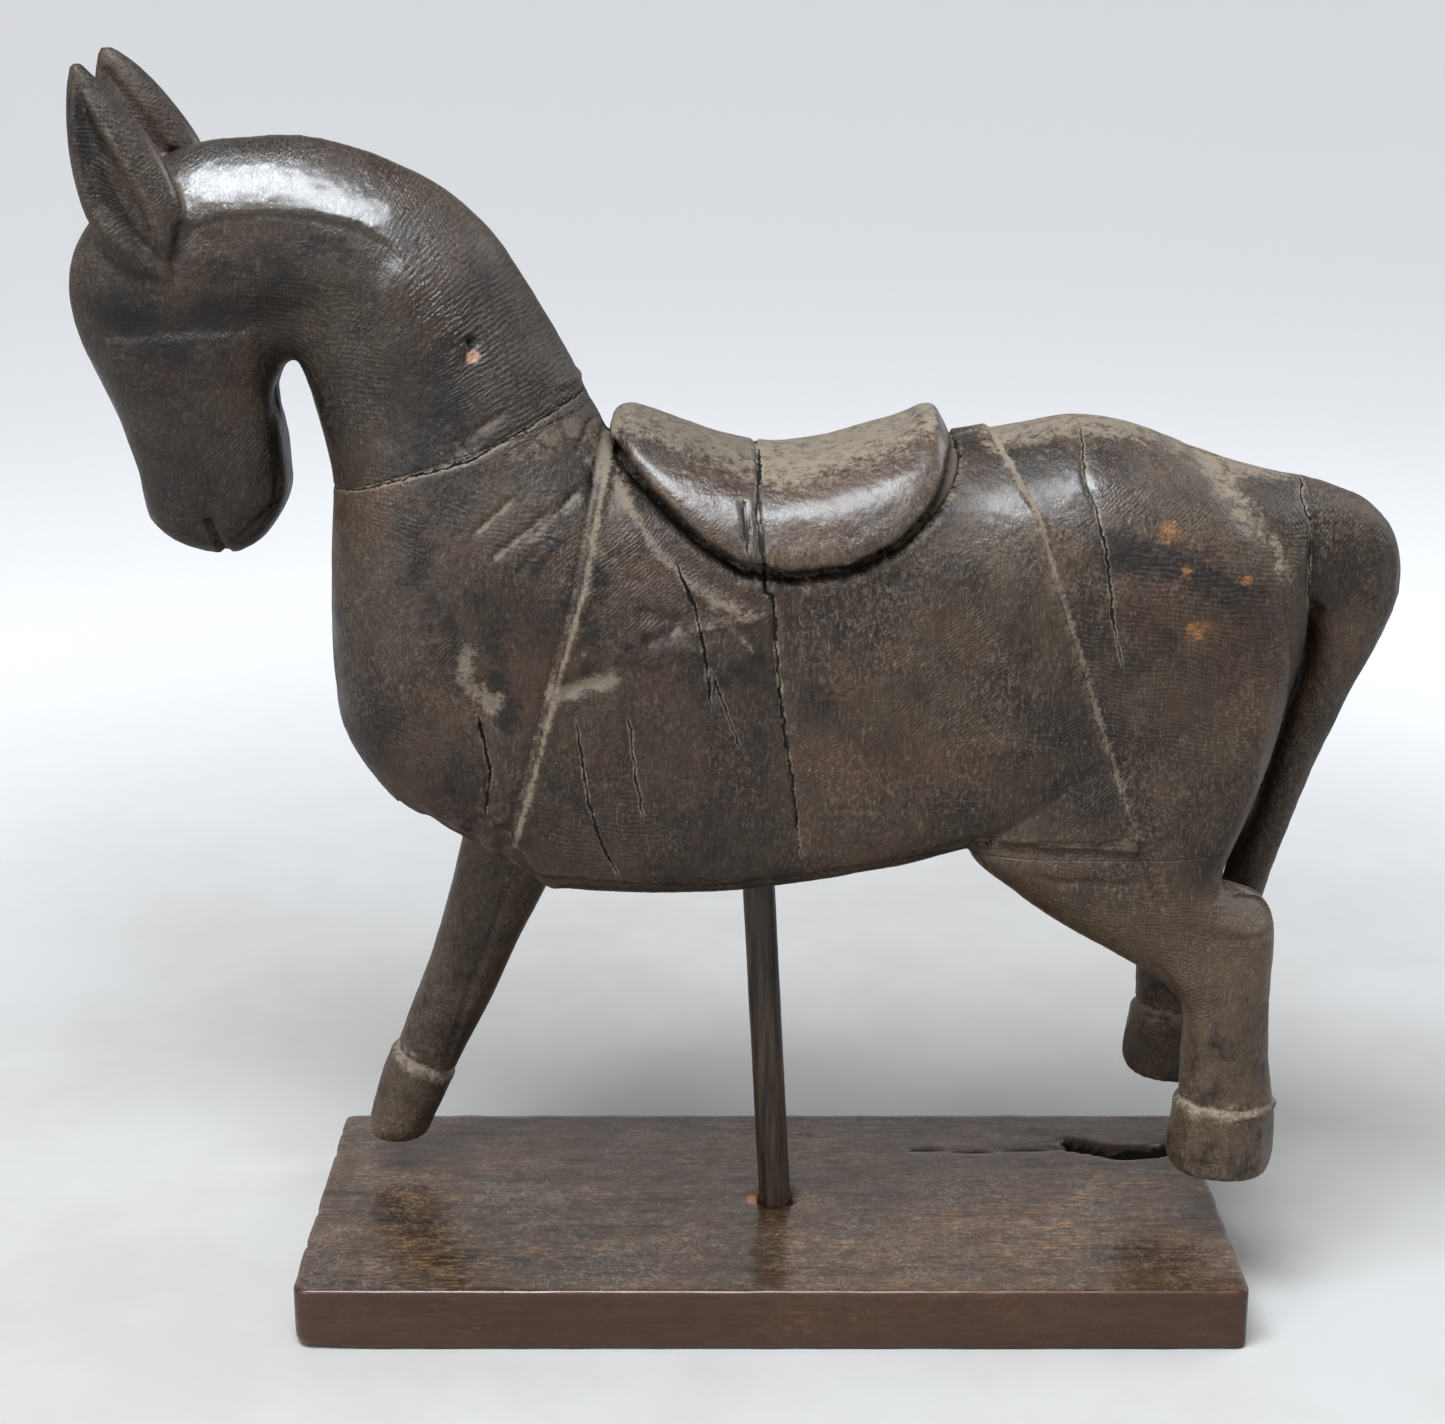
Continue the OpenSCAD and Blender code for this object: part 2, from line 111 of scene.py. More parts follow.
def withinOutline(flat, outline):  # distance inside a closed outline, negative outside it
    ring = list(outline) + [outline[0]]
    away = fromPath(flat, ring)[0]
    inside = np.zeros(len(flat), bool)
    for (ax, az), (bx, bz) in zip(ring[:-1], ring[1:]):
        if az != bz:
            meets = (bx - ax) * (flat[:, 1] - az) / (bz - az) + ax
            inside ^= ((az > flat[:, 1]) != (bz > flat[:, 1])) & (flat[:, 0] < meets)
    return np.where(inside, away, -away)


def makeMesh(name, points, faces):  # points in millimetres above the board, faces turned outwards
    points = np.asarray(points, float) + [0, 0, boardTop]
    mesh = bpy.data.meshes.new(name)
    mesh.from_pydata((points * mm).tolist(), [], faces)
    volume = 0.0
    for face in faces:
        corners = points[face]
        for i in range(1, len(face) - 1):
            volume += np.dot(corners[0], np.cross(corners[i], corners[i + 1]))
    if volume < 0:
        mesh.flip_normals()
    return mesh


def newObject(name, mesh):
    thing = bpy.data.objects.new(name, mesh)
    bpy.context.scene.collection.objects.link(thing)
    return thing


def settled(thing):  # the object's mesh with its modifiers worked in, and the modifiers taken off
    mesh = bpy.data.meshes.new_from_object(thing.evaluated_get(bpy.context.evaluated_depsgraph_get()))
    thing.modifiers.clear()
    old = thing.data
    thing.data = mesh
    bpy.data.meshes.remove(old)
    return thing


def sawn(thing, tool, operation):
    cut = thing.modifiers.new("cut", "BOOLEAN")
    cut.solver = "MANIFOLD"
    cut.operation = operation
    cut.object = tool
    return settled(thing)


def getPoints(mesh):
    flat = np.empty(len(mesh.vertices) * 3)
    mesh.vertices.foreach_get("co", flat)
    return flat.reshape(-1, 3) / mm - [0, 0, boardTop]


def setPoints(mesh, points):
    mesh.vertices.foreach_set("co", ((points + [0, 0, boardTop]) * mm).ravel())
    mesh.update()


def getNormals(mesh):
    flat = np.empty(len(mesh.vertices) * 3)
    mesh.vertex_normals.foreach_get("vector", flat)
    return flat.reshape(-1, 3)


def neighbours(mesh):
    ends = np.empty(len(mesh.edges) * 2, int)
    mesh.edges.foreach_get("vertices", ends)
    a, b = ends[0::2], ends[1::2]
    count = len(mesh.vertices)
    return np.concatenate([a, b]), np.concatenate([b, a]), np.maximum(np.bincount(ends, minlength=count), 1)


def relax(points, links, rounds, strength=0.5, back=0.0):
    own, other, degree = links
    for _ in range(rounds):
        for amount in ((strength, -back) if back else (strength,)):
            sums = np.stack([np.bincount(own, points[other, k], len(points)) for k in range(3)], 1)
            points = points + amount * (sums / degree[:, None] - points)
    return points


def easedRows(rows, steps):
    r = np.array(rows, float)
    held = np.vstack([r[0], r, r[-1]])
    out = []
    for i in range(len(r) - 1):
        a, b, c, d = held[i:i + 4]
        for k in range(steps):
            t = k / steps
            out.append(0.5 * (2 * b + (c - a) * t + (2 * a - 5 * b + 4 * c - d) * t * t + (3 * b - a - 3 * c + d) * t ** 3))
    out.append(r[-1])
    return np.array(out)


def loft(rows, steps, sides, offset=(0, 0, 0)):
    r = easedRows(rows, steps)
    turn = np.arange(sides) * 2 * math.pi / sides
    c, s = np.cos(turn)[None], np.sin(turn)[None]
    roundness = np.where(c >= 0, r[:, 6:7], r[:, 7:8])
    reach = (np.abs(c) ** roundness + np.abs(s) ** roundness) ** (-1 / roundness)
    out, side = c * reach, s * reach
    level = r[:, 5:6] + np.where(out >= 0, out * (1 - r[:, 5:6]), out * r[:, 5:6])
    x = r[:, 2:3] + (r[:, 0:1] - r[:, 2:3]) * level + offset[0]
    y = r[:, 8:9] + r[:, 4:5] * side + offset[1]
    z = r[:, 3:4] + (r[:, 1:2] - r[:, 3:4]) * level + offset[2]
    points = np.stack([x, y, z], 2).reshape(-1, 3)
    faces = []
    for i in range(len(r) - 1):
        for k in range(sides):
            n = (k + 1) % sides
            faces.append([i * sides + k, (i + 1) * sides + k, (i + 1) * sides + n, i * sides + n])
    faces.append(list(range(sides)))
    faces.append([(len(r) - 1) * sides + k for k in reversed(range(sides))])
    return points, faces


def prism(outline, low, high):  # an outline seen from the side, carried across from y low to y high
    count = len(outline)
    points = [(x, low, z) for x, z in outline] + [(x, high, z) for x, z in outline]
    faces = [[k, (k + 1) % count, count + (k + 1) % count, count + k] for k in range(count)]
    faces.append(list(reversed(range(count))))
    faces.append([count + k for k in range(count)])
    return np.array(points, float), faces


def tool(name, shape):
    return newObject(name, makeMesh(name, *shape))


def roundBar(x, y, z, tilt, diameter, half):  # a round bar tilted from upright towards +X
    turn = math.radians(tilt)
    along = np.array([math.sin(turn), 0, math.cos(turn)])
    across = np.array([math.cos(turn), 0, -math.sin(turn)])
    points = []
    for end in (-half, half):
        for k in range(48):
            a = k * math.pi / 24
            outward = across * math.cos(a) + np.array([0, 1, 0]) * math.sin(a)
            points.append(np.array([x, y, z]) + along * end + diameter / 2 * outward)
    faces = [[k, (k + 1) % 48, 48 + (k + 1) % 48, 48 + k] for k in range(48)]
    faces.append(list(reversed(range(48))))
    faces.append([48 + k for k in range(48)])
    return np.array(points), faces


def discard(*things):
    for thing in things:
        mesh = thing.data
        bpy.data.objects.remove(thing)
        bpy.data.meshes.remove(mesh)


# The rough forms.
# Each row is one cross-section: outer edge x, z, inner edge x, z, half width, widest level,
# roundness of the outer half, roundness of the inner half, y.

horseForm = {
    "head": [
        [-182, 228.5, -168, 227.5, 7, 0.5, 2.4, 2.4, 0],
        [-189.5, 232, -161, 231.5, 12, 0.5, 2.4, 2.6, 0],
        [-195.5, 238, -155, 239, 14.6, 0.5, 2.6, 3, 0],
        [-197, 245, -151.5, 247, 15.8, 0.5, 2.8, 3.4, 0],
        [-198, 253, -151.5, 254, 16, 0.5, 2.8, 3.6, 0],
        [-200.5, 262, -152, 262, 16.5, 0.5, 2.8, 3.8, 0],
        [-204, 272, -153, 271, 17, 0.5, 2.6, 3.8, 0],
        [-208.5, 283, -154, 279, 18, 0.52, 2.6, 3.6, 0],
        [-213.8, 297, -152.5, 284, 19.5, 0.55, 2.6, 3.2, 0],
        [-215.8, 310, -151, 286.5, 20.5, 0.58, 2.6, 2.8, 0],
        [-213.2, 323, -149.5, 287.5, 21, 0.6, 2.5, 2.6, 0],
        [-204, 336, -148.5, 288, 21, 0.62, 2.2, 2.6, 0],
        [-192, 346, -147.8, 288, 20.5, 0.64, 1.8, 2.6, 0],
        [-176, 353.5, -147.3, 288, 20, 0.66, 1.5, 2.6, 0],
        [-160, 355.5, -147, 288, 20, 0.66, 1.4, 2.6, 0],
        [-143, 356, -146.5, 287.5, 20.5, 0.65, 1.4, 2.6, 0],
        [-127, 352.5, -145.8, 286.2, 21.5, 0.64, 1.4, 2.6, 0],
        [-110, 346, -144.8, 284, 22.5, 0.62, 1.5, 2.6, 0],
        [-95, 336.5, -143.4, 280, 24, 0.6, 1.5, 2.6, 0],
        [-82, 322, -141.5, 273, 26, 0.58, 1.6, 2.6, 0],
        [-71, 304, -139.5, 265, 28, 0.56, 1.7, 2.6, 0],
        [-62.5, 289, -138, 257, 30, 0.54, 1.9, 2.6, 0],
        [-57.5, 278, -137.5, 249, 32, 0.52, 2, 2.6, 0],
    ],
    "body": [
        [-54, 271, -138.5, 231, 35, 0.5, 2.2, 2.8, 0],
        [-52, 267, -139.5, 211, 38, 0.5, 2.3, 3, 0],
        [-50, 264, -139, 191, 40.5, 0.5, 2.4, 3, 0],
        [-47.5, 262, -136, 174, 42, 0.5, 2.4, 3.4, 0],
        [-44, 260.5, -127.5, 159.5, 42.5, 0.5, 2.4, 3.8, 0],
        [-40, 259.5, -115, 147.5, 43, 0.5, 2.4, 4.6, 0],
        [-35, 258.5, -99, 140.5, 43, 0.5, 2.4, 5.4, 0],
        [-30, 258, -83, 132, 43, 0.5, 2.4, 6.5, 0],
        [-24, 257.5, -69, 124.5, 43, 0.5, 2.4, 7, 0],
        [-15, 257, -45, 122.5, 43.2, 0.5, 2.4, 7, 0],
        [0, 257, -12, 123, 43.4, 0.5, 2.4, 7, 0],
        [20, 258, 15, 126.5, 43.5, 0.5, 2.4, 7, 0],
        [42, 260, 41, 131.5, 43.5, 0.5, 2.3, 7, 0],
        [60, 264.5, 61, 137, 43.5, 0.5, 2.2, 7, 0],
        [76, 267, 77, 140, 43.5, 0.5, 2.2, 6, 0],
        [94, 270.3, 96, 141, 43.5, 0.5, 2.2, 4.2, 0],
        [112, 268, 116, 141, 43, 0.5, 2.2, 4, 0],
        [130, 261.5, 134, 142, 41, 0.5, 2.2, 3.6, 0],
        [146, 255.5, 149, 148, 37, 0.52, 2.2, 3, 0],
        [157, 252.5, 159, 163, 30, 0.55, 2.2, 2.6, 0],
        [166, 251, 166.5, 186, 22, 0.55, 2.2, 2.4, 0],
        [174, 249.5, 172, 203, 17, 0.55, 2.2, 2.4, 0],
    ],
    "leftEar": [
        [-199, 319, -176, 314, 5, 0.5, 2, 2, -17],
        [-204.5, 331, -176, 326, 7, 0.5, 2, 2, -18],
        [-208, 344, -176.5, 337, 7.5, 0.5, 2, 2, -18.5],
        [-209.3, 356, -182, 352, 7, 0.5, 2, 2, -18.5],
        [-209, 367, -191, 364, 5.5, 0.5, 2, 2, -18.5],
        [-208, 374, -199.5, 373.5, 3.5, 0.5, 2, 2, -18.5],
        [-206.8, 378, -203.8, 378, 1.6, 0.5, 2, 2, -18.5],
    ],
    "rightEar": [
        [-199, 319, -176, 314, 5, 0.5, 2, 2, 17],
        [-204.5, 331, -175, 327, 7, 0.5, 2, 2, 18],
        [-208, 344, -173.5, 339, 7.5, 0.5, 2, 2, 18.5],
        [-209.3, 356, -178, 354, 7, 0.5, 2, 2, 18.5],
        [-209, 368, -187, 367, 5.5, 0.5, 2, 2, 18.5],
        [-208, 376, -196, 376.5, 3.6, 0.5, 2, 2, 18.5],
        [-206.6, 381, -202.4, 381, 1.6, 0.5, 2, 2, 18.5],
    ],
    "saddle": [
        [-50, 262, -50, 181, 24, 0.5, 2.7, 3, 0],
        [-48.5, 271.5, -48, 181, 28, 0.5, 2.7, 3, 0],
        [-44, 273.3, -44, 181, 33, 0.5, 2.7, 3, 0],
        [-37, 271, -37, 181, 38, 0.5, 2.7, 3, 0],
        [-27, 267.3, -27, 181, 42, 0.5, 2.7, 3, 0],
        [-14, 262.8, -14, 181, 44.5, 0.5, 2.7, 3, 0],
        [0, 260.4, 0, 181, 45.8, 0.5, 2.7, 3, 0],
        [14, 262, 14, 181, 46, 0.5, 2.7, 3, 0],
        [30, 266.2, 30, 181, 45, 0.5, 2.7, 3, 0],
        [41, 269.8, 41, 181, 42.5, 0.5, 2.7, 3, 0],
        [48, 273, 48, 181, 38.5, 0.5, 2.7, 3, 0],
        [52, 271.8, 52.5, 181, 34, 0.5, 2.7, 3, 0],
        [55, 264.5, 55, 181, 30, 0.5, 2.7, 3, 0],
    ],
    "foreleg": [
        [-138.2, 14, -118, 14, 12.6, 0.5, 2.2, 2.4, 0],
        [-138.2, 19, -116.5, 17.5, 13.8, 0.5, 2.2, 2.4, 0],
        [-136, 27.5, -113.8, 23.5, 14, 0.5, 2.2, 2.4, 0],
        [-132, 40, -110.5, 31, 13.4, 0.5, 2.2, 2.4, 0],
        [-128.2, 46, -108.5, 37, 11.8, 0.5, 2.2, 2.4, 0],
        [-127, 49.5, -106.8, 40, 11.4, 0.5, 2.2, 2.4, 0],
        [-122.8, 61, -101, 51.5, 11.6, 0.5, 2.4, 2.6, 0],
        [-117, 75, -94.5, 64, 11.8, 0.5, 2.6, 2.6, 0],
        [-111.2, 92, -87.5, 79.5, 12, 0.5, 2.8, 2.6, 0],
        [-106, 110, -80.5, 95, 12.4, 0.5, 2.8, 2.6, 0],
        [-102.3, 126, -74, 107, 12.8, 0.5, 2.8, 2.6, 0],
        [-100.5, 143, -66, 121, 13, 0.5, 2.6, 2.6, 0],
        [-100, 161, -62, 141, 13, 0.5, 2.6, 2.6, 0],
    ],
    "hindLeg": [
        [132.5, 26, 164, 26, 14, 0.5, 2.1, 2.1, 0],
        [130.5, 30, 166, 30, 15.2, 0.5, 2.1, 2.1, 0],
        [130.8, 37, 166.2, 37, 15.2, 0.5, 2.1, 2.1, 0],
        [132.5, 47, 165.4, 47, 14.4, 0.5, 2.1, 2.1, 0],
        [133.8, 52.5, 164, 52.5, 12.8, 0.5, 2.2, 2.2, 0],
        [134, 58, 163, 58, 12.3, 0.5, 2.4, 2.4, 0],
        [134, 65, 161.8, 67, 12, 0.5, 2.6, 2.6, 0],
        [134, 74, 161, 79.5, 12.2, 0.5, 2.6, 2.6, 0],
        [132.5, 83, 161, 94, 12.5, 0.5, 2.6, 2.6, 0],
        [127, 90.5, 161.3, 106.5, 12.8, 0.5, 2.8, 2.6, 0],
        [118, 97, 160, 115.5, 13.2, 0.5, 2.8, 2.6, 0],
        [108, 103, 155.5, 120.8, 14.2, 0.5, 2.8, 2.6, 0],
        [98, 109, 149, 122.8, 15, 0.5, 2.8, 2.6, 0],
        [88, 115.5, 144, 124.5, 16, 0.5, 2.8, 2.6, 0],
        [76, 124.5, 144, 132, 17, 0.5, 3, 2.6, 0],
        [62.5, 137, 150, 147, 17.8, 0.5, 3, 2.6, 0],
        [68, 153, 159, 177, 17, 0.5, 2.8, 2.6, 0],
        [84, 181, 161, 203, 12.5, 0.5, 2.8, 2.6, 0],
        [100, 205, 155, 226, 4, 0.5, 2.8, 2.6, 0],
    ],
    "tail": [
        [160, 253, 160, 205, 17.5, 0.5, 2.2, 2.4, 0],
        [170, 250.5, 167.5, 207, 17, 0.5, 2.2, 2.6, 0],
        [180, 247, 169, 206, 16.5, 0.5, 2.2, 2.6, 0],
        [189, 242.5, 170, 204, 16, 0.5, 2.2, 2.6, 0],
        [196, 235, 170.5, 201.5, 15.5, 0.5, 2.2, 2.6, 0],
        [199, 226, 170.5, 198, 15, 0.5, 2.2, 2.6, 0],
        [199, 215, 170, 192, 14.6, 0.5, 2.2, 2.6, 0],
        [195.5, 203, 168.8, 185, 14.2, 0.5, 2.2, 2.6, 0],
        [188.3, 187, 165.5, 173, 13.4, 0.5, 2.2, 2.6, 0],
        [180.6, 168, 161, 157, 12.6, 0.5, 2.2, 2.6, 0],
        [172.8, 146, 156, 138, 11.8, 0.5, 2.2, 2.6, 0],
        [166.4, 127, 151.5, 122, 10.8, 0.5, 2.2, 2.6, 0],
        [162.2, 111, 149, 109, 9.4, 0.5, 2.2, 2.4, 0],
        [158.5, 97, 149.5, 97, 6.5, 0.5, 2.2, 2.2, 0],
    ],
    "legOffset": 26,
    "farHindForward": 7,
    "farHindLift": 11,
    "carvingGrain": 1.0,
}

outlines = {
    "saddle": [
        (-51, 291), (-50, 269), (-44, 261), (-34, 251), (-22, 240.5), (-10, 233.5), (5, 231),
        (23, 233), (38, 240), (48, 249.5), (53.5, 258), (56, 267), (56, 291)],
}

joints = {
    "neck": (-98, 262, 18),
    "barrel": (2, 196, 6.5),
    "forelegSeat": (-85, 134, -31.5),
    "hindSeat": 138,
    "tail": 167,
    "dowel": 10,
    "tailDowel": 8,
}


def joinedShells(name, shells):
    points, faces = [], []
    for shellPoints, shellFaces in shells:
        start = sum(len(p) for p in points)
        points.append(shellPoints)
        faces += [[start + k for k in face] for face in shellFaces]
    return newObject(name, makeMesh(name, np.vstack(points), faces))


def meshShell(thing):
    mesh = thing.data
    return getPoints(mesh), [list(face.vertices) for face in mesh.polygons]


def grained(thing, size):  # one even skin over shells that run through each other
    skin = thing.modifiers.new("skin", "REMESH")
    skin.mode = "VOXEL"
    skin.voxel_size = size * mm
    skin.adaptivity = 0
    return settled(thing)


def roughHorse():
    form = horseForm
    saddle = tool("saddleBlank", loft(form["saddle"], 6, 120))
    saddleSlab = tool("saddleSlab", prism(outlines["saddle"], -60, 60))
    sawn(saddle, saddleSlab, "INTERSECT")
    side = form["legOffset"]
    shells = [
        loft(form["head"] + form["body"], 6, 120),
        loft(form["leftEar"], 6, 60),
        loft(form["rightEar"], 6, 60),
        loft(form["foreleg"], 6, 72, (0, side, 0)),
        loft(form["hindLeg"], 6, 72, (0, -side, 0)),
        loft(form["hindLeg"], 6, 72, (-form["farHindForward"], side, form["farHindLift"])),
        meshShell(saddle),
    ]
    horse = grained(joinedShells("horse", shells), form["carvingGrain"])
    discard(saddle, saddleSlab)
    links = neighbours(horse.data)
    setPoints(horse.data, relax(getPoints(horse.data), links, 3, 0.5, 0.52))
    print("rough horse", len(horse.data.vertices), "points")
    return horse


# The carving: lines seen from the side, as x and height.

carving = {
    "clothStep": 1.5,
    "rollHeight": 0.9,
    "toolMarks": 0.32,
    "sway": 0.55,
    "earHollow": 3.6,
    "crestLedge": 1.5,
}

clothFront = [(-48, 274), (-52, 253), (-57, 225), (-65, 197), (-72, 171), (-80, 142)]
clothBack = [(63, 276), (74, 256), (80, 246), (84, 231), (92, 208), (100, 183), (113, 146), (123, 118)]
clothHem = [(-80, 142), (-74, 133), (-44, 130), (-18, 129), (10, 133), (33, 137), (63, 142), (116, 141)]
clothShape = clothFront + clothHem[1:] + [(113, 148), (104, 173), (100, 183), (92, 208), (84, 231), (80, 246),
        (74, 256), (66, 268), (63, 291), (-48, 291)]
crestLine = [(-178, 322), (-174, 331), (-165, 334), (-151, 335), (-137, 334), (-124, 331), (-115, 326), (-108, 316)]
crestTop = [(-180, 352), (-160, 355.5), (-143, 356), (-127, 352.5), (-110, 346), (-95, 336.5), (-82, 322),
        (-71, 304), (-62.5, 289), (-56, 276)]
saddleLip = [(-50, 269), (-44, 261), (-34, 251), (-22, 240.5), (-10, 233.5), (5, 231), (23, 233), (38, 240),
        (48, 249.5), (53.5, 258), (56, 267)]
earLeaf = [(-205, 374), (-207, 364), (-207, 348), (-203.5, 335), (-197, 327), (-188, 320), (-180, 314), (-181, 323),
        (-184, 335), (-190, 348.5), (-196, 359), (-201, 368)]
farEarLeaf = [(-207, 376), (-208, 366), (-206, 350), (-190, 346), (-183, 349), (-189, 360), (-196, 369),
        (-203, 377)]

# cracks: side, path seen from the side, half width, depth
cracks = [
    (-1, [(-5, 273), (-4, 258), (-5, 247), (-3, 235), (-2.5, 224), (0, 222), (1, 205), (3, 185), (6, 165),
            (9, 140)], 0.5, 1.3),
    (-1, [(-140, 249.5), (-126, 252), (-113, 256), (-92, 262), (-77, 270), (-63, 277), (-52, 282)], 0.2, 0.8),
    (-1, [(-29, 231), (-24, 220), (-21, 207), (-19, 190)], 0.5, 1.2),
    (-1, [(-18, 198), (-13, 183), (-10, 176)], 0.28, 0.5),
    (-1, [(-60, 183), (-57, 158), (-53, 144), (-48, 133)], 0.42, 1.0),
    (-1, [(-44, 185), (-42, 165), (-40, 153)], 0.25, 0.4),
    (-1, [(95, 268), (94.5, 256), (98, 247), (101, 232), (103, 214), (106, 202)], 0.32, 0.7),
    (-1, [(-90, 184), (-87, 167), (-89, 153)], 0.6, 1.5),
    (-1, [(-9, 251), (-8.5, 245), (-8, 237)], 0.5, 1.0),
    (-1, [(166, 252), (164, 246), (167, 240), (166, 230), (167, 214)], 0.45, 0.9),
    (1, [(-6.5, 272), (-2, 235), (1, 205), (5, 168), (8.5, 140)], 0.45, 1.2),
    (1, [(-140, 249), (-98, 262), (-54, 277)], 0.4, 1.0),
    (1, [(30, 226), (33, 204), (31, 183), (36, 160)], 0.35, 0.8),
    (1, [(-66, 240), (-62, 219), (-64, 201)], 0.3, 0.6),
    (1, [(118, 242), (121, 219), (119, 196)], 0.35, 0.7),
    (1, [(167, 250), (167, 228), (167, 212)], 0.4, 0.9),
]


# a groove, or a ridge where the depth is below zero
def draw(points, normals, path, width, depth, side=-1, fade=0.15):
    path = np.array(path, float)
    low, high = path.min(0) - 3 * width, path.max(0) + 3 * width
    flat = points[:, [0, 2]]
    pick = np.flatnonzero((points[:, 1] * side > 2) & (flat > low).all(1) & (flat < high).all(1))
    away, _, share = fromPath(flat[pick], path)
    ends = smooth(0, fade, share) * smooth(0, fade, 1 - share) if fade else 1
    points[pick] -= normals[pick] * (depth * np.exp(-(away / width) ** 2) * ends)[:, None]


# one side of a line is cut back, fading out
def ledge(points, normals, path, depth, reach, side=-1, below=True, fade=0.12):
    path = np.array(path, float)
    low, high = path.min(0) - reach, path.max(0) + reach
    flat = points[:, [0, 2]]
    pick = np.flatnonzero((points[:, 1] * side > 2) & (flat > low).all(1) & (flat < high).all(1))
    away, hand, share = fromPath(flat[pick], path)
    away = away * hand * (-1 if below else 1)
    ends = smooth(0, fade, share) * smooth(0, fade, 1 - share)
    amount = smooth(-0.8, 0.8, away) * (1 - smooth(reach * 0.25, reach, away))
    points[pick] -= normals[pick] * (depth * amount * ends)[:, None]


def bevel(points, normals, path, slope, reach, side=-1):  # the surface falls away from a line at an even slope
    path = np.array(path, float)
    low, high = path.min(0) - reach, path.max(0) + reach
    flat = points[:, [0, 2]]
    pick = np.flatnonzero((points[:, 1] * side > 2) & (flat > low).all(1) & (flat < high).all(1))
    away, hand, share = fromPath(flat[pick], path)
    away = np.clip(away * hand, 0, reach)
    ends = smooth(0, 0.12, share) * smooth(0, 0.12, 1 - share)
    points[pick, 1] -= side * slope * away * ends * np.clip(normals[pick, 1] * side * 2, 0, 1)


def dent(points, normals, place, size, depth):  # a round hollow about one place
    away = np.sqrt(((points - np.array(place)) ** 2).sum(1))
    pick = away < 3 * size
    points[pick] -= normals[pick] * (depth * np.exp(-(away[pick] / size) ** 2))[:, None]


def collar(points, ring, width, channel, swell):  # the cut line and the rough roll above a hoof
    rough = 0.35 * wander(points, 2.4) * np.exp(-(ring / 5) ** 2)
    return channel * np.exp(-(ring / width) ** 2) - swell * np.exp(-((ring + 3) / 2) ** 2) + rough


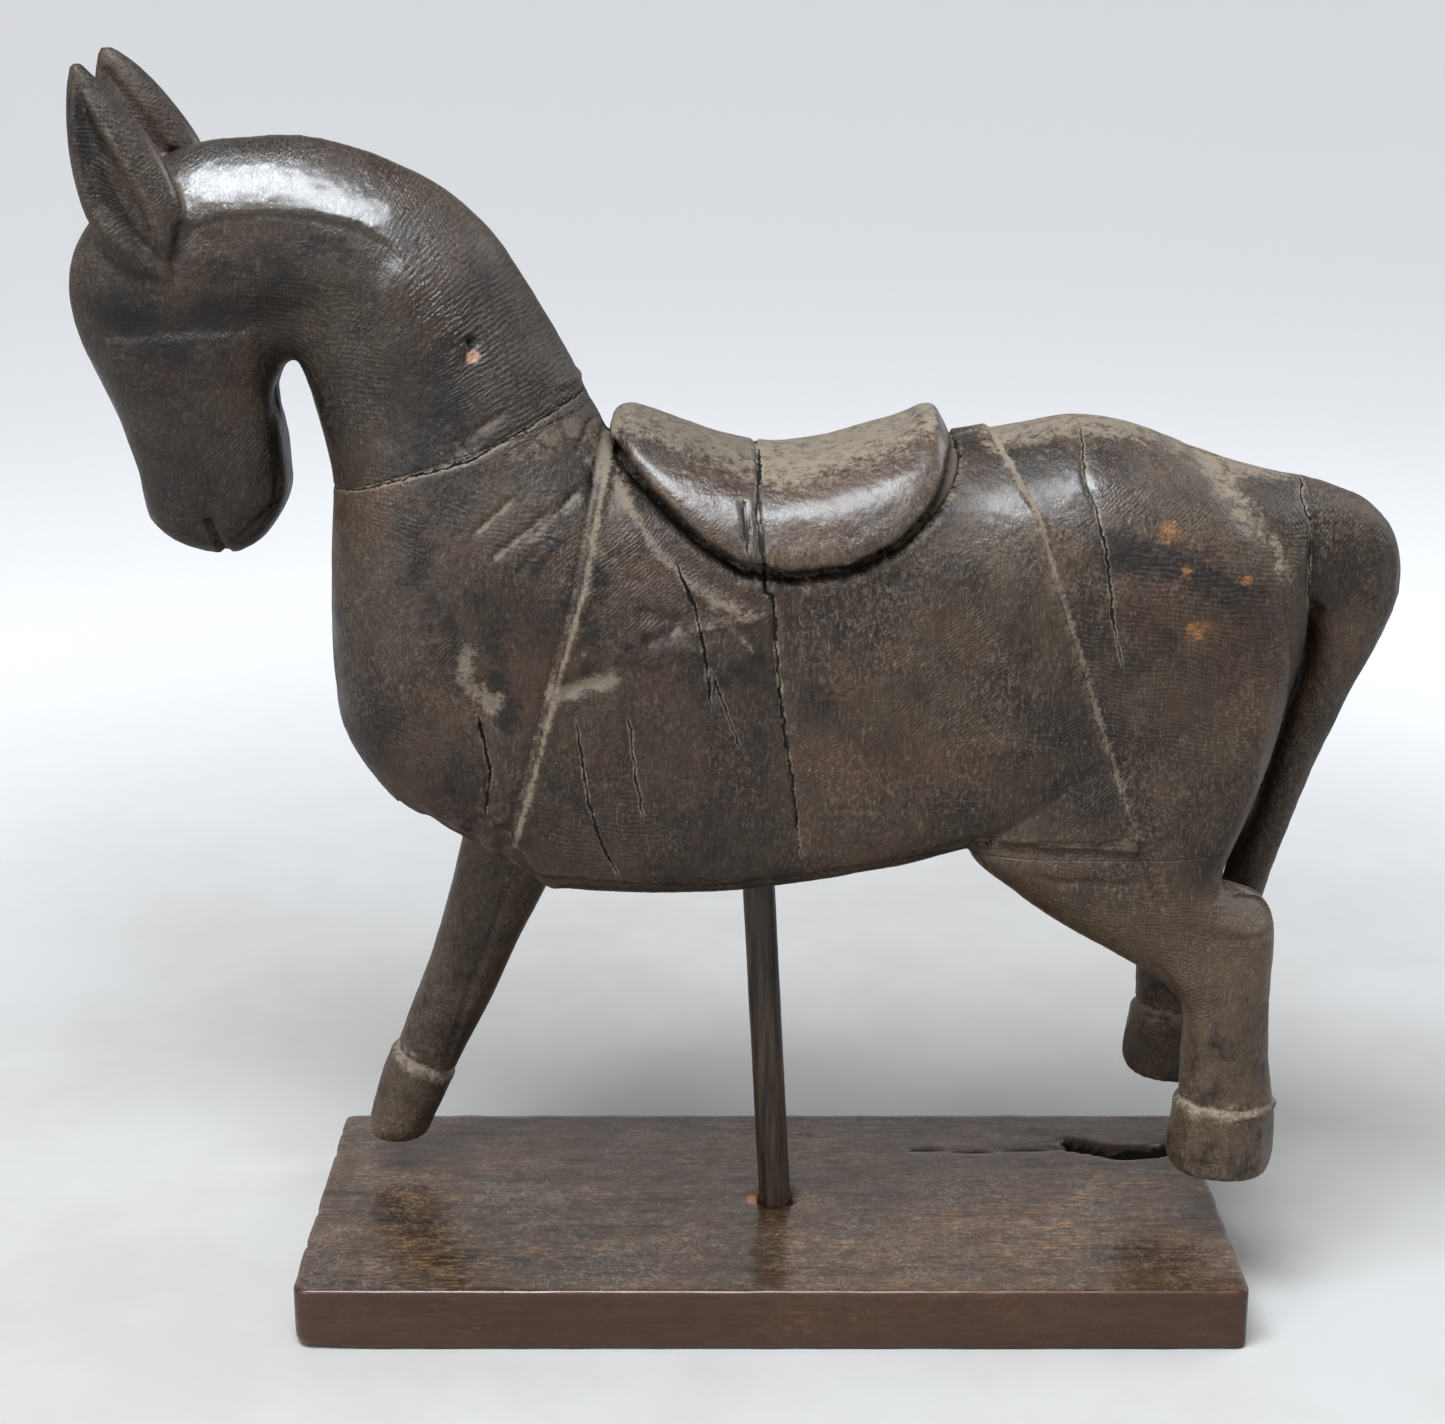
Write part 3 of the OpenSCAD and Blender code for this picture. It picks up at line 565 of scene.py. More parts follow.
def sculpt(horse):
    mesh = horse.data
    p, n = getPoints(mesh), getNormals(mesh)
    flat = p[:, [0, 2]]
    p += n * (carving["sway"] * (0.6 * wander(p, 26) + 0.4 * wander(p, 11, 5.3)))[:, None]

    inCloth = withinOutline(flat, clothShape)
    inSaddle = withinOutline(flat, outlines["saddle"])
    sideways = smooth(-0.75, -0.35, n[:, 2]) * (np.abs(p[:, 1]) > 3)
    ragged = 0.5 * wander(p, 5, 2.1)
    raised = smooth(-0.5, 0.9, inCloth + ragged) * sideways * (1 - smooth(-3, 0, inSaddle))
    p += n * (carving["clothStep"] * raised)[:, None]
    setPoints(mesh, p)
    n = getNormals(mesh)

    for side in (-1, 1):
        draw(p, n, clothFront, 1.6, -carving["rollHeight"], side, 0.05)
        draw(p, n, [(x - 2.6, z) for x, z in clothFront], 1.3, 0.7, side, 0.05)
        draw(p, n, [(x + 1.5, z) for x, z in clothBack[2:]], 1.0, 0.7, side, 0.05)
        draw(p, n, [(x, z - 1.4) for x, z in clothHem], 0.9, 0.6, side, 0.05)
        lip = np.array(saddleLip) + [0, -2.2]
        draw(p, n, lip, 2.0, 2.2, side, 0.03)  # the dark channel under the saddle
        draw(p, n, np.array(saddleLip) + [0, -7.5], 3.2, -0.9, side, 0.2)
        draw(p, n, np.array(saddleLip) + [0, 4], 4.0, -0.8, side, 0.05)
        ledge(p, n, crestLine, carving["crestLedge"], 17, side)
        draw(p, n, [(-212, 300), (-196, 300), (-179, 301), (-152, 303), (-134, 305)], 6, 1.0, side)
        ledge(p, n, [(-206, 296), (-180, 298), (-154, 299)], -0.7, 20, side)
        leaf = withinOutline(flat, earLeaf)
        outer = (np.abs(p[:, 1]) > 18) & (p[:, 1] * side > 0) & (p[:, 2] > 312)
        p[:, 1] -= side * np.where(outer, carving["earHollow"] * smooth(0, 5.5, leaf), 0)
        inner = (np.abs(p[:, 1]) < 18) & (p[:, 1] * side > 0) & (p[:, 2] > 345)
        p[:, 1] += side * np.where(inner, 1.6 * smooth(0, 4, withinOutline(flat, farEarLeaf)), 0)
        draw(p, n, [(-199, 352), (-193, 338), (-184, 321)], 1.2, -1.0, side)
        draw(p, n, [(-178, 311), (-181, 322), (-184, 334), (-190, 347)], 1.2, 0.7, side)
        draw(p, n, [(-176, 333), (-177, 327), (-180, 318)], 2.0, 1.3, side)
        draw(p, n, [(-175, 239.5), (-173, 233), (-170.5, 225)], 1.0, 2.2, side, 0.0)
        draw(p, n, [(-195, 238.5), (-184, 235.5), (-176, 233)], 0.8, 0.45, side)
        draw(p, n, [(-150, 285), (-153.5, 279), (-154, 268), (-153, 255), (-154.5, 245), (-163, 236.5),
                (-169, 232)], 0.9, 0.6, side, 0.04)
        draw(p, n, [(-184, 281), (-180, 275), (-176, 262)], 1.6, 0.4, side)
        draw(p, n, [(-127, 316), (-124, 298), (-120, 282), (-117, 262)], 6, 0.9, side)
        draw(p, n, [(131, 265), (143, 246), (152, 237), (158, 225)], 4.5, 1.3, side)
        draw(p, n, [(-139, 262), (-139.5, 232), (-138, 200), (-134, 178)], 3, 0.6, side)
    setPoints(mesh, p)
    n = getNormals(mesh)

    # the folds beside the saddle
    draw(p, n, [(-48, 255), (-37, 238), (-26, 226), (-11, 218), (-2, 212)], 2.6, -1.1)
    draw(p, n, [(-42, 218), (-35, 216), (-27, 214)], 2.4, 1.3)
    draw(p, n, [(-40, 208), (-32, 211), (-24, 212)], 2.4, 1.2)
    draw(p, n, [(-30, 211), (-16, 214), (-3, 217)], 1.6, -0.8)
    draw(p, n, [(-22, 224), (-13, 213), (-6, 206)], 1.6, -0.6)
    draw(p, n, [(-50, 236), (-44, 228), (-38, 225)], 2.0, 0.7)
    draw(p, n, [(-66, 192), (-58, 195), (-49, 197)], 3.4, 1.2, -1, 0.2)
    for path, width, depth in (
            ([(-91, 240), (-84, 246), (-77, 252)], 1.5, 0.7), ([(-84, 234), (-75, 241), (-66, 248)], 1.8, 0.8),
            ([(-98, 267), (-88, 272), (-79, 277)], 1.4, 0.5), ([(-73, 239), (-66, 246), (-58, 253)], 1.6, 0.7),
            ([(-79, 227), (-70, 238), (-62, 246)], 1.3, 0.5), ([(-98, 262), (-89, 270), (-80, 277)], 1.0, 0.4),
            ([(-94, 264), (-87, 269)], 0.9, 0.4), ([(-60, 262), (-57, 268), (-55, 272)], 1.4, 0.8)):
        draw(p, n, path, width, depth)
    # chisel lines on the thigh
    draw(p, n, [(62, 143.5), (75, 142.5), (89, 144), (101, 143.5), (114, 146)], 1.0, 0.8, -1, 0.05)
    ledge(p, n, [(64, 143), (89, 143.5), (113, 145)], 0.7, 9)
    draw(p, n, [(81, 133), (90, 130.5), (98, 131), (107, 130), (115, 131)], 1.1, 0.8)
    draw(p, n, [(112, 149), (118, 133), (124, 117)], 1.3, 1.0)
    for side, forward, lift in ((-1, 0, 0), (1, horseForm["farHindForward"], horseForm["farHindLift"])):
        moved = np.array([-forward, lift])
        buttock = np.array([(156, 196), (154, 189), (151, 162), (143, 137), (136, 117)])
        bevel(p, n, buttock + moved * 0.3, 0.45, 12, side)
        draw(p, n, np.array([(137, 111), (150, 109.5), (161, 111)]) + moved, 1.2, 0.6, side)
        draw(p, n, np.array([(117, 103), (124, 98.5), (131, 88), (135.5, 72), (135.5, 56)]) + moved, 1.3, 0.8, side)
        leg = (p[:, 1] * side > 8) & (p[:, 0] > 118) & (p[:, 2] < 74)
        ring = p[:, 2] - 50.5 - lift + 0.6 * wander(p, 6, 3.3)
        p -= n * np.where(leg, collar(p, ring, 1.1, 1.0, 0.6), 0)[:, None]
        hoof = leg & (p[:, 2] < 48 + lift)
        edges = np.array([math.radians(a) for a in (200, 245, 290, 335)])
        middle = np.array([148 - forward, side * horseForm["legOffset"]])
        for edge in edges:  # flats left by the knife around the hoof
            across = (p[:, 1] - middle[1]) * 1.12
            reach = (p[:, 0] - middle[0]) * math.cos(edge) + across * math.sin(edge) - 15.6
            cut = np.where(hoof & (reach > 0), reach * 0.8, 0)
            p[:, 0] -= cut * math.cos(edge)
            p[:, 1] -= cut * math.sin(edge)
    foreleg = (p[:, 1] > 8) & (p[:, 0] < -95) & (p[:, 2] < 60)
    ring = p[:, 2] - 42 + (p[:, 0] + 119) * 0.5 + 0.6 * wander(p, 6, 1.3)
    p -= n * np.where(foreleg, collar(p, ring, 1.2, 1.1, 0.7), 0)[:, None]
    draw(p, n, [(-84, 116), (-93, 92), (-101, 72), (-108, 50), (-113, 36)], 1.0, 0.6, 1)
    rough = smooth(160, 146, p[:, 2]) * smooth(-116, -108, p[:, 0]) * smooth(-74, -82, p[:, 0]) * (p[:, 1] < -8)
    p += n * (rough * 1.6 * wander(p, 5, 7.7))[:, None]  # splintered edge over the empty socket
    patch = smooth(9, 4, np.hypot(p[:, 0] + 89, p[:, 2] - 192)) * (p[:, 1] < -8)
    p += n * (patch * (0.5 * wander(p, 2.6) - 0.5))[:, None]
    dent(p, n, (-90, -34, 151), 3.2, 3.6)
    dent(p, n, (-106, -30, 151), 2.2, 2.0)
    dent(p, n, (-90.5, -24, 297), 1.5, 3.0)
    dent(p, n, (-90.5, -25, 293), 2.4, 0.8)
    dent(p, n, (166, -14, 211), 3.4, 3.2)
    dent(p, n, (166, 14, 211), 3.4, 3.2)
    dent(p, n, (-184.5, 12, 349), 2.0, 2.0)
    tab = np.exp(-((p[:, 0] + 70) ** 2 + (p[:, 1] + 38) ** 2 + (p[:, 2] - 128) ** 2) / 26)
    p[:, 2] -= 2.4 * tab
    step = smooth(2.5, 0, np.abs(p[:, 2] - 283)) * (p[:, 0] > -66) * (p[:, 0] < -48)
    p += n * (0.8 * step * (p[:, 2] > 281))[:, None]
    setPoints(mesh, p)
    n = getNormals(mesh)
    for side, path, width, depth in cracks:
        draw(p, n, path, max(width * 1.5, 0.75), depth, side, 0.06)
    p += n * (carving["toolMarks"] * (0.22 * wander(p, 3.1, 9.1) + 0.16 * wander(p, 1.7, 4.4)))[:, None]
    setPoints(mesh, p)
    print("horse carved")


# Marks of use and painted shade, kept on the skin for the finishes.

wear = {
    "edgeRounds": 12,
    "dustAlongCloth": 1.0,
    "dustOnTop": 0.55,
    "splitWidth": 0.62,
}

dustStrokes = [  # path on the near side, width and amount
    ([(-118, 255), (-92, 262), (-77, 270)], 0.9, 1.0),
    ([(-77, 270), (-58, 279)], 0.8, 0.6),
    ([(-48, 255), (-37, 238), (-26, 226), (-11, 218)], 2.2, 0.75),
    ([(-30, 211), (-16, 214), (-3, 217)], 1.5, 0.7),
    ([(-22, 224), (-13, 213), (-6, 206)], 1.6, 0.6),
    ([(-66, 192), (-58, 195), (-49, 197)], 3.6, 0.95),
    ([(-84, 234), (-75, 241), (-66, 248)], 1.3, 0.7),
    ([(-91, 240), (-84, 246), (-77, 252)], 1.0, 0.6),
    ([(-73, 239), (-66, 246), (-58, 253)], 1.4, 0.6),
    ([(-98, 262), (-89, 270), (-80, 277)], 1.8, 0.55),
    ([(-93, 205), (-94, 197), (-86, 188), (-84, 190)], 3.6, 0.85),
    ([(-90, 184), (-87, 167)], 1.6, 0.5),
    ([(-60, 183), (-57, 158)], 0.8, 0.5),
    ([(-43, 180), (-42, 165)], 1.2, 0.45),
    ([(0, 222), (1, 205), (4, 178)], 1.0, 0.5),
    ([(-24, 220), (-21, 207), (-19, 192)], 1.3, 0.5),
    ([(62, 143.5), (89, 144), (114, 146)], 1.2, 0.4),
    ([(-38, 133), (-36, 140)], 6, 0.3),
    ([(98, 247), (101, 232)], 0.9, 0.5),
]

orangeSpots = [(120, 241, 4.5), (125, 229, 2.6), (144, 226, 3), (129, 212, 5), (-44, 253, 1.6)]


def keepMark(mesh, name, values):
    mark = mesh.attributes.get(name) or mesh.attributes.new(name, "FLOAT", "POINT")
    mark.data.foreach_set("value", values.astype(np.float32))


def brushed(points, total, path, width, amount, side=0):  # adds a soft stroke along a path
    path = np.array(path, float)
    low, high = path.min(0) - 3 * width, path.max(0) + 3 * width
    flat = points[:, [0, 2]]
    near = (flat > low).all(1) & (flat < high).all(1)
    if side:
        near &= points[:, 1] * side > 2
    pick = np.flatnonzero(near)
    if len(pick):
        away = fromPath(flat[pick], path)[0]
        total[pick] = np.maximum(total[pick], amount * np.exp(-(away / width) ** 2))


def markSkin(thing):
    mesh = thing.data
    p, n = getPoints(mesh), getNormals(mesh)
    flat = p[:, [0, 2]]
    soft = relax(p, neighbours(mesh), wear["edgeRounds"], 0.6)
    swell = ((p - soft) * n).sum(1)
    keepMark(mesh, "edge", smooth(0.06, 0.5, swell))
    keepMark(mesh, "hollow", smooth(0.04, 0.4, -swell))

    dust = np.zeros(len(p))
    for side in (-1, 1):
        brushed(p, dust, clothFront, 1.1, wear["dustAlongCloth"], side)
        brushed(p, dust, [(x + 3.5, z) for x, z in clothFront[:4]], 4.5, 0.35, side)
        brushed(p, dust, clothBack[:7], 0.8, 0.8, side)
        brushed(p, dust, np.array(saddleLip[4:]) + [0, -6.5], 2.2, 0.45, side)
        brushed(p, dust, [(131, 265), (143, 246), (152, 237), (158, 225)], 5, 0.6, side)
        brushed(p, dust, [(-50, 272), (-53, 262)], 5, 0.8, side)
        brushed(p, dust, [(-178, 345), (-172, 338)], 5, 0.5, side)
    for path, width, amount in dustStrokes:
        brushed(p, dust, path, width, amount, -1)
    seat = smooth(0, 4, withinOutline(flat, outlines["saddle"]))
    top = smooth(0.72, 0.97, n[:, 2])
    dust = np.maximum(dust, wear["dustOnTop"] * top * seat)
    back = smooth(60, 70, p[:, 0]) * smooth(178, 150, p[:, 0]) * smooth(0.8, 0.98, n[:, 2])
    dust = np.maximum(dust, 0.5 * back)
    collar = smooth(8, 2, np.abs(p[:, 2] - 49)) * (p[:, 0] > 120) * (p[:, 1] < 0)
    collar += smooth(8, 2, np.abs(p[:, 2] - 60)) * (p[:, 0] > 115) * (p[:, 1] > 8) * (p[:, 2] < 80)
    collar += smooth(8, 2, np.abs(p[:, 2] - 42 + (p[:, 0] + 119) * 0.5)) * (p[:, 0] < -95) * (p[:, 2] < 60)
    flank = seat * smooth(0.95, 0.7, n[:, 2]) * smooth(0, 3, withinOutline(flat, outlines["saddle"]))
    crest = np.zeros(len(p))
    brushed(p, crest, [(-172, 344), (-150, 345), (-130, 342), (-116, 334), (-104, 322)], 12, 1.3)
    rump = np.exp(-(((p[:, 0] - 100) / 16) ** 2 + ((p[:, 2] - 250) / 9) ** 2))
    loin = np.exp(-(((p[:, 0] - 72) / 10) ** 2 + ((p[:, 2] - 240) / 16) ** 2))
    keepMark(mesh, "polish", np.clip(np.maximum.reduce([0.5 * flank, crest, 0.9 * rump, 0.7 * loin]), 0, 1))

    away, _, share = fromPath(flat, crestTop)
    reach = np.hypot(*(np.diff(np.array(crestTop, float), axis=0)).T).sum()
    keepMark(mesh, "alongCrest", share * reach)
    band = smooth(34, 22, away) * smooth(-126, -112, p[:, 0]) * smooth(-56, -62, p[:, 0]) * (p[:, 2] > 262)
    poll = smooth(22, 12, away) * smooth(-182, -170, p[:, 0]) * (p[:, 2] > 325) * (p[:, 0] < -110)
    band = np.maximum(band, 0.5 * poll)
    keepMark(mesh, "crestBand", band)

    # Darkening strokes: painted shade in the band under the saddle lip, on the side below the crest line, in the
    # ear hollows and along the cheek line; the other darkening strokes lay dark patches on the flanks, shoulder,
    # neck, rump, cloth edge and head.
    darkPatchAndShade = np.zeros(len(p))
    for side in (-1, 1):
        brushed(p, darkPatchAndShade, np.array(saddleLip) + [0, -4.5], 4.6, 1.0, side)
        brushed(p, darkPatchAndShade, [(100, 236), (120, 232), (142, 222)], 9, 0.9, side)
        brushed(p, darkPatchAndShade, [(-72, 232), (-62, 246), (-56, 256)], 4, 0.7, side)
        brushed(p, darkPatchAndShade, [(-108, 262), (-100, 280), (-92, 300), (-88, 312)], 13, 0.8, side)
        brushed(p, darkPatchAndShade, [(-45, 205), (-20, 200), (0, 198)], 9, 0.7, side)
        brushed(p, darkPatchAndShade, [(-86, 215), (-84, 200), (-80, 180)], 6, 0.8, side)
        brushed(p, darkPatchAndShade, [(10, 196), (40, 206), (84, 210)], 11, 0.35, side)
        brushed(p, darkPatchAndShade, [(112, 235), (118, 214), (134, 222)], 10, 0.55, side)
        brushed(p, darkPatchAndShade, [(-170, 318), (-150, 322), (-130, 326)], 9, 0.7, side)
        brushed(p, darkPatchAndShade, [(-204, 362), (-199, 346), (-190, 328)], 5.5, 1.0, side)
        brushed(p, dust, [(-202, 370), (-196, 359), (-190, 348.5), (-184, 335), (-181, 323)], 1.0, 0.65, side)
        brushed(p, darkPatchAndShade, [(-198, 304), (-182, 296), (-164, 304), (-146, 312)], 12, 1.0, side)
        brushed(p, darkPatchAndShade, [(-186, 284), (-178, 262), (-178, 246)], 14, 0.5, side)
        brushed(p, darkPatchAndShade, [(-112, 245), (-104, 222), (-96, 198)], 9, 0.8, side)
        brushed(p, darkPatchAndShade, [(-52, 232), (-56, 205), (-60, 186)], 5, 0.7, side)
    # darker towards the bottom, below a height of 118 mm
    darkPatchAndShade = np.maximum(darkPatchAndShade, 0.42 * smooth(118, 70, p[:, 2]))
    keepMark(mesh, "darkPatchAndShade", np.maximum(darkPatchAndShade, 0.18))
    keepMark(mesh, "dust", np.maximum(dust, 0.45 * np.clip(collar, 0, 1)))

    spots = np.zeros(len(p))
    for x, z, size in orangeSpots:
        spot = np.exp(-(((p[:, 0] - x) ** 2 + (p[:, 2] - z) ** 2) / size ** 2))
        spots = np.maximum(spots, spot * (p[:, 1] < -10))
    keepMark(mesh, "orangeSpots", spots)
    keepMark(mesh, "freshChip", np.exp(-(((p[:, 0] + 90.5) ** 2 + (p[:, 2] - 292.5) ** 2) / 6)) * (p[:, 1] < -8))
    keepMark(mesh, "lowerLegs", smooth(135, 90, p[:, 2]))

    crackSide, crackWidth = np.full(len(p), 5.0), np.zeros(len(p))
    nearest = np.full(len(p), 4.0)
    for side, path, width, depth in cracks:
        width *= wear["splitWidth"]
        line = np.array(path, float)
        close = (flat > line.min(0) - 4).all(1) & (flat < line.max(0) + 4).all(1)
        pick = np.flatnonzero(close & (p[:, 1] * side > 2))
        away, hand, share = fromPath(flat[pick], line)
        ends = smooth(0, 0.1, share) * smooth(0, 0.1, 1 - share)
        closer = away < nearest[pick]
        chosen = pick[closer]
        nearest[chosen] = away[closer]
        crackSide[chosen] = (away * hand)[closer]
        crackWidth[chosen] = width * (0.35 + 0.65 * ends[closer]) * (away[closer] < 3)
    keepMark(mesh, "crackSide", crackSide)
    keepMark(mesh, "crackWidth", crackWidth)


def carvedHorse():
    horse = roughHorse()
    sculpt(horse)
    markSkin(horse)
    return horse


# Sawing the horse into its pieces.


def copyOf(thing, name):
    return newObject(name, thing.data.copy())


def sawHorse(horse):
    neckX, neckZ, neckSlope = joints["neck"]
    barrelX, barrelZ, barrelSlope = joints["barrel"]
    seatX, seatZ, seatSlope = joints["forelegSeat"]
    turn = math.tan(math.radians(neckSlope))
    lean = math.tan(math.radians(barrelSlope))
    drop = math.tan(math.radians(seatSlope))
    neckBlock = tool("neckBlock", prism([(-146.5, -40), (400, -40), (400, neckZ + (400 - neckX) * turn),
            (-146.5, neckZ + (-146.5 - neckX) * turn)], -80, 80))
    rearBlock = tool("rearBlock", prism([(barrelX - (500 - barrelZ) * lean, 500),
            (barrelX - (-40 - barrelZ) * lean, -40), (400, -40), (400, 500)], -81, 81))
    seatLine = [(x, seatZ + (x - seatX) * drop) for x in (-118, -64)]
    forelegBlock = tool("forelegBlock", prism([seatLine[0], seatLine[1], (-64, 100), (-90, -4), (-160, -4),
            (-160, 60), (-118, 138)], -60, 60))
    nearBlock = tool("nearBlock", prism([(-300, -50), (300, -50), (300, 450), (-300, 450)], -82, 0))
    legBlock = tool("legBlock", prism([(63, -4), (190, -4), (190, joints["hindSeat"]), (63, joints["hindSeat"])],
            -62, 62))
    tailBlock = tool("tailBlock", prism([(joints["tail"], 60), (260, 60), (260, 400), (joints["tail"], 400)], -63,
            63))
    head = sawn(copyOf(horse, "headPiece"), neckBlock, "DIFFERENCE")
    rest = sawn(copyOf(horse, "rest"), neckBlock, "INTERSECT")
    fore = sawn(copyOf(rest, "chestPiece"), rearBlock, "DIFFERENCE")
    foreleg = sawn(copyOf(fore, "farForelegPiece"), forelegBlock, "INTERSECT")
    sawn(foreleg, nearBlock, "DIFFERENCE")
    sawn(fore, forelegBlock, "DIFFERENCE")
    hind = sawn(rest, rearBlock, "INTERSECT")
    hind.name = "rumpPiece"
    legs = sawn(copyOf(hind, "legs"), legBlock, "INTERSECT")
    sawn(hind, legBlock, "DIFFERENCE")
    sawn(hind, tailBlock, "DIFFERENCE")
    nearHind = sawn(copyOf(legs, "nearHindLegPiece"), nearBlock, "INTERSECT")
    farHind = sawn(legs, nearBlock, "DIFFERENCE")
    farHind.name = "farHindLegPiece"
    tail = grained(joinedShells("tailPiece", [loft(horseForm["tail"], 6, 100)]), 0.9)
    setPoints(tail.data, relax(getPoints(tail.data), neighbours(tail.data), 3, 0.5, 0.52))
    carveTail(tail)
    markSkin(tail)
    tailFront = tool("tailFront", prism([(100, 180), (joints["tail"], 180), (joints["tail"], 330), (100, 330)], -64,
            64))
    sawn(tail, tailFront, "DIFFERENCE")

    size = joints["dowel"]
    side = horseForm["legOffset"]
    bores = {
        "neck": [roundBar(neckX, 0, neckZ, -neckSlope, size, 30)],
        "barrel": [roundBar(barrelX, y, barrelZ, 90 - barrelSlope, size, 28) for y in (-20, 20)],
        "foreleg": [roundBar(seatX, y, seatZ, -seatSlope, size, 20) for y in (-side, side)],
        "hind": [roundBar(120, y, 140.5, 0, size, 22.5) for y in (-side, side)],
        "tail": [roundBar(joints["tail"], 0, 229, 90, joints["tailDowel"], 19)],
        "rod": [roundBar(2.5 - 135 * math.sin(math.radians(3)), 0, 135 * math.cos(math.radians(3)), -3, 11, 35)],
    }
    drills = {name: joinedShells(name + "Drill", shells) for name, shells in bores.items()}
    for piece, names in ((head, ["neck"]), (fore, ["neck", "barrel", "foreleg", "rod"]),
            (hind, ["barrel", "hind", "tail"]),
                         (foreleg, ["foreleg"]), (nearHind, ["hind"]), (farHind, ["hind"]), (tail, ["tail"])):
        for name in names:
            sawn(piece, drills[name], "DIFFERENCE")
    discard(horse, neckBlock, rearBlock, forelegBlock, nearBlock, legBlock, tailBlock, tailFront, *drills.values())
    return {"head_and_neck": head, "forequarters": fore, "hindquarters": hind, "right_foreleg": foreleg,
            "left_hind_leg": nearHind, "right_hind_leg": farHind, "tail": tail}


def carveTail(tail):
    mesh = tail.data
    p, n = getPoints(mesh), getNormals(mesh)
    p += n * (0.4 * wander(p, 20, 2.2) + 0.2 * wander(p, 8, 1.1))[:, None]
    for side in (-1, 1):
        draw(p, n, [(194, 236), (194, 216), (186, 192), (176, 166), (167, 136)], 2.4, 0.7, side)
        draw(p, n, [(178, 242), (184, 224), (178, 200), (168, 172)], 3.5, 0.6, side)
        dent(p, n, (169, side * 14, 210), 3.4, 2.6)
        draw(p, n, [(198, 240), (198.5, 226), (198, 214)], 1.0, 0.5, side)
    p += n * (carving["toolMarks"] * (0.3 * wander(p, 2.8, 6.1) + 0.2 * wander(p, 1.6, 3.4)))[:, None]
    setPoints(mesh, p)


horse = carvedHorse()
pieces = sawHorse(horse)
for name, piece in pieces.items():
    triangles = sum(len(face.vertices) - 2 for face in piece.data.polygons)
    print("sawn", name, triangles, "triangles")


# The board and the rod.

board = {"length": 306, "depth": 129, "thick": 21, "corner": 3, "edge": 1.1, "spacing": 1.6, "hole": 12.4,
        "holeDepth": 15, "place": 2.5, "lean": 3}
rod = {"diameter": 11, "bottom": -14.7, "top": 170, "sides": 72, "rings": 120, "cutDepth": 0.06, "seed": 4}
boardVoid = [(108, 41), (118, 36), (128, 33), (138, 34), (150, 40)]
boardCrack = [(52, 36), (74, 34.5), (96, 36), (112, 38)]


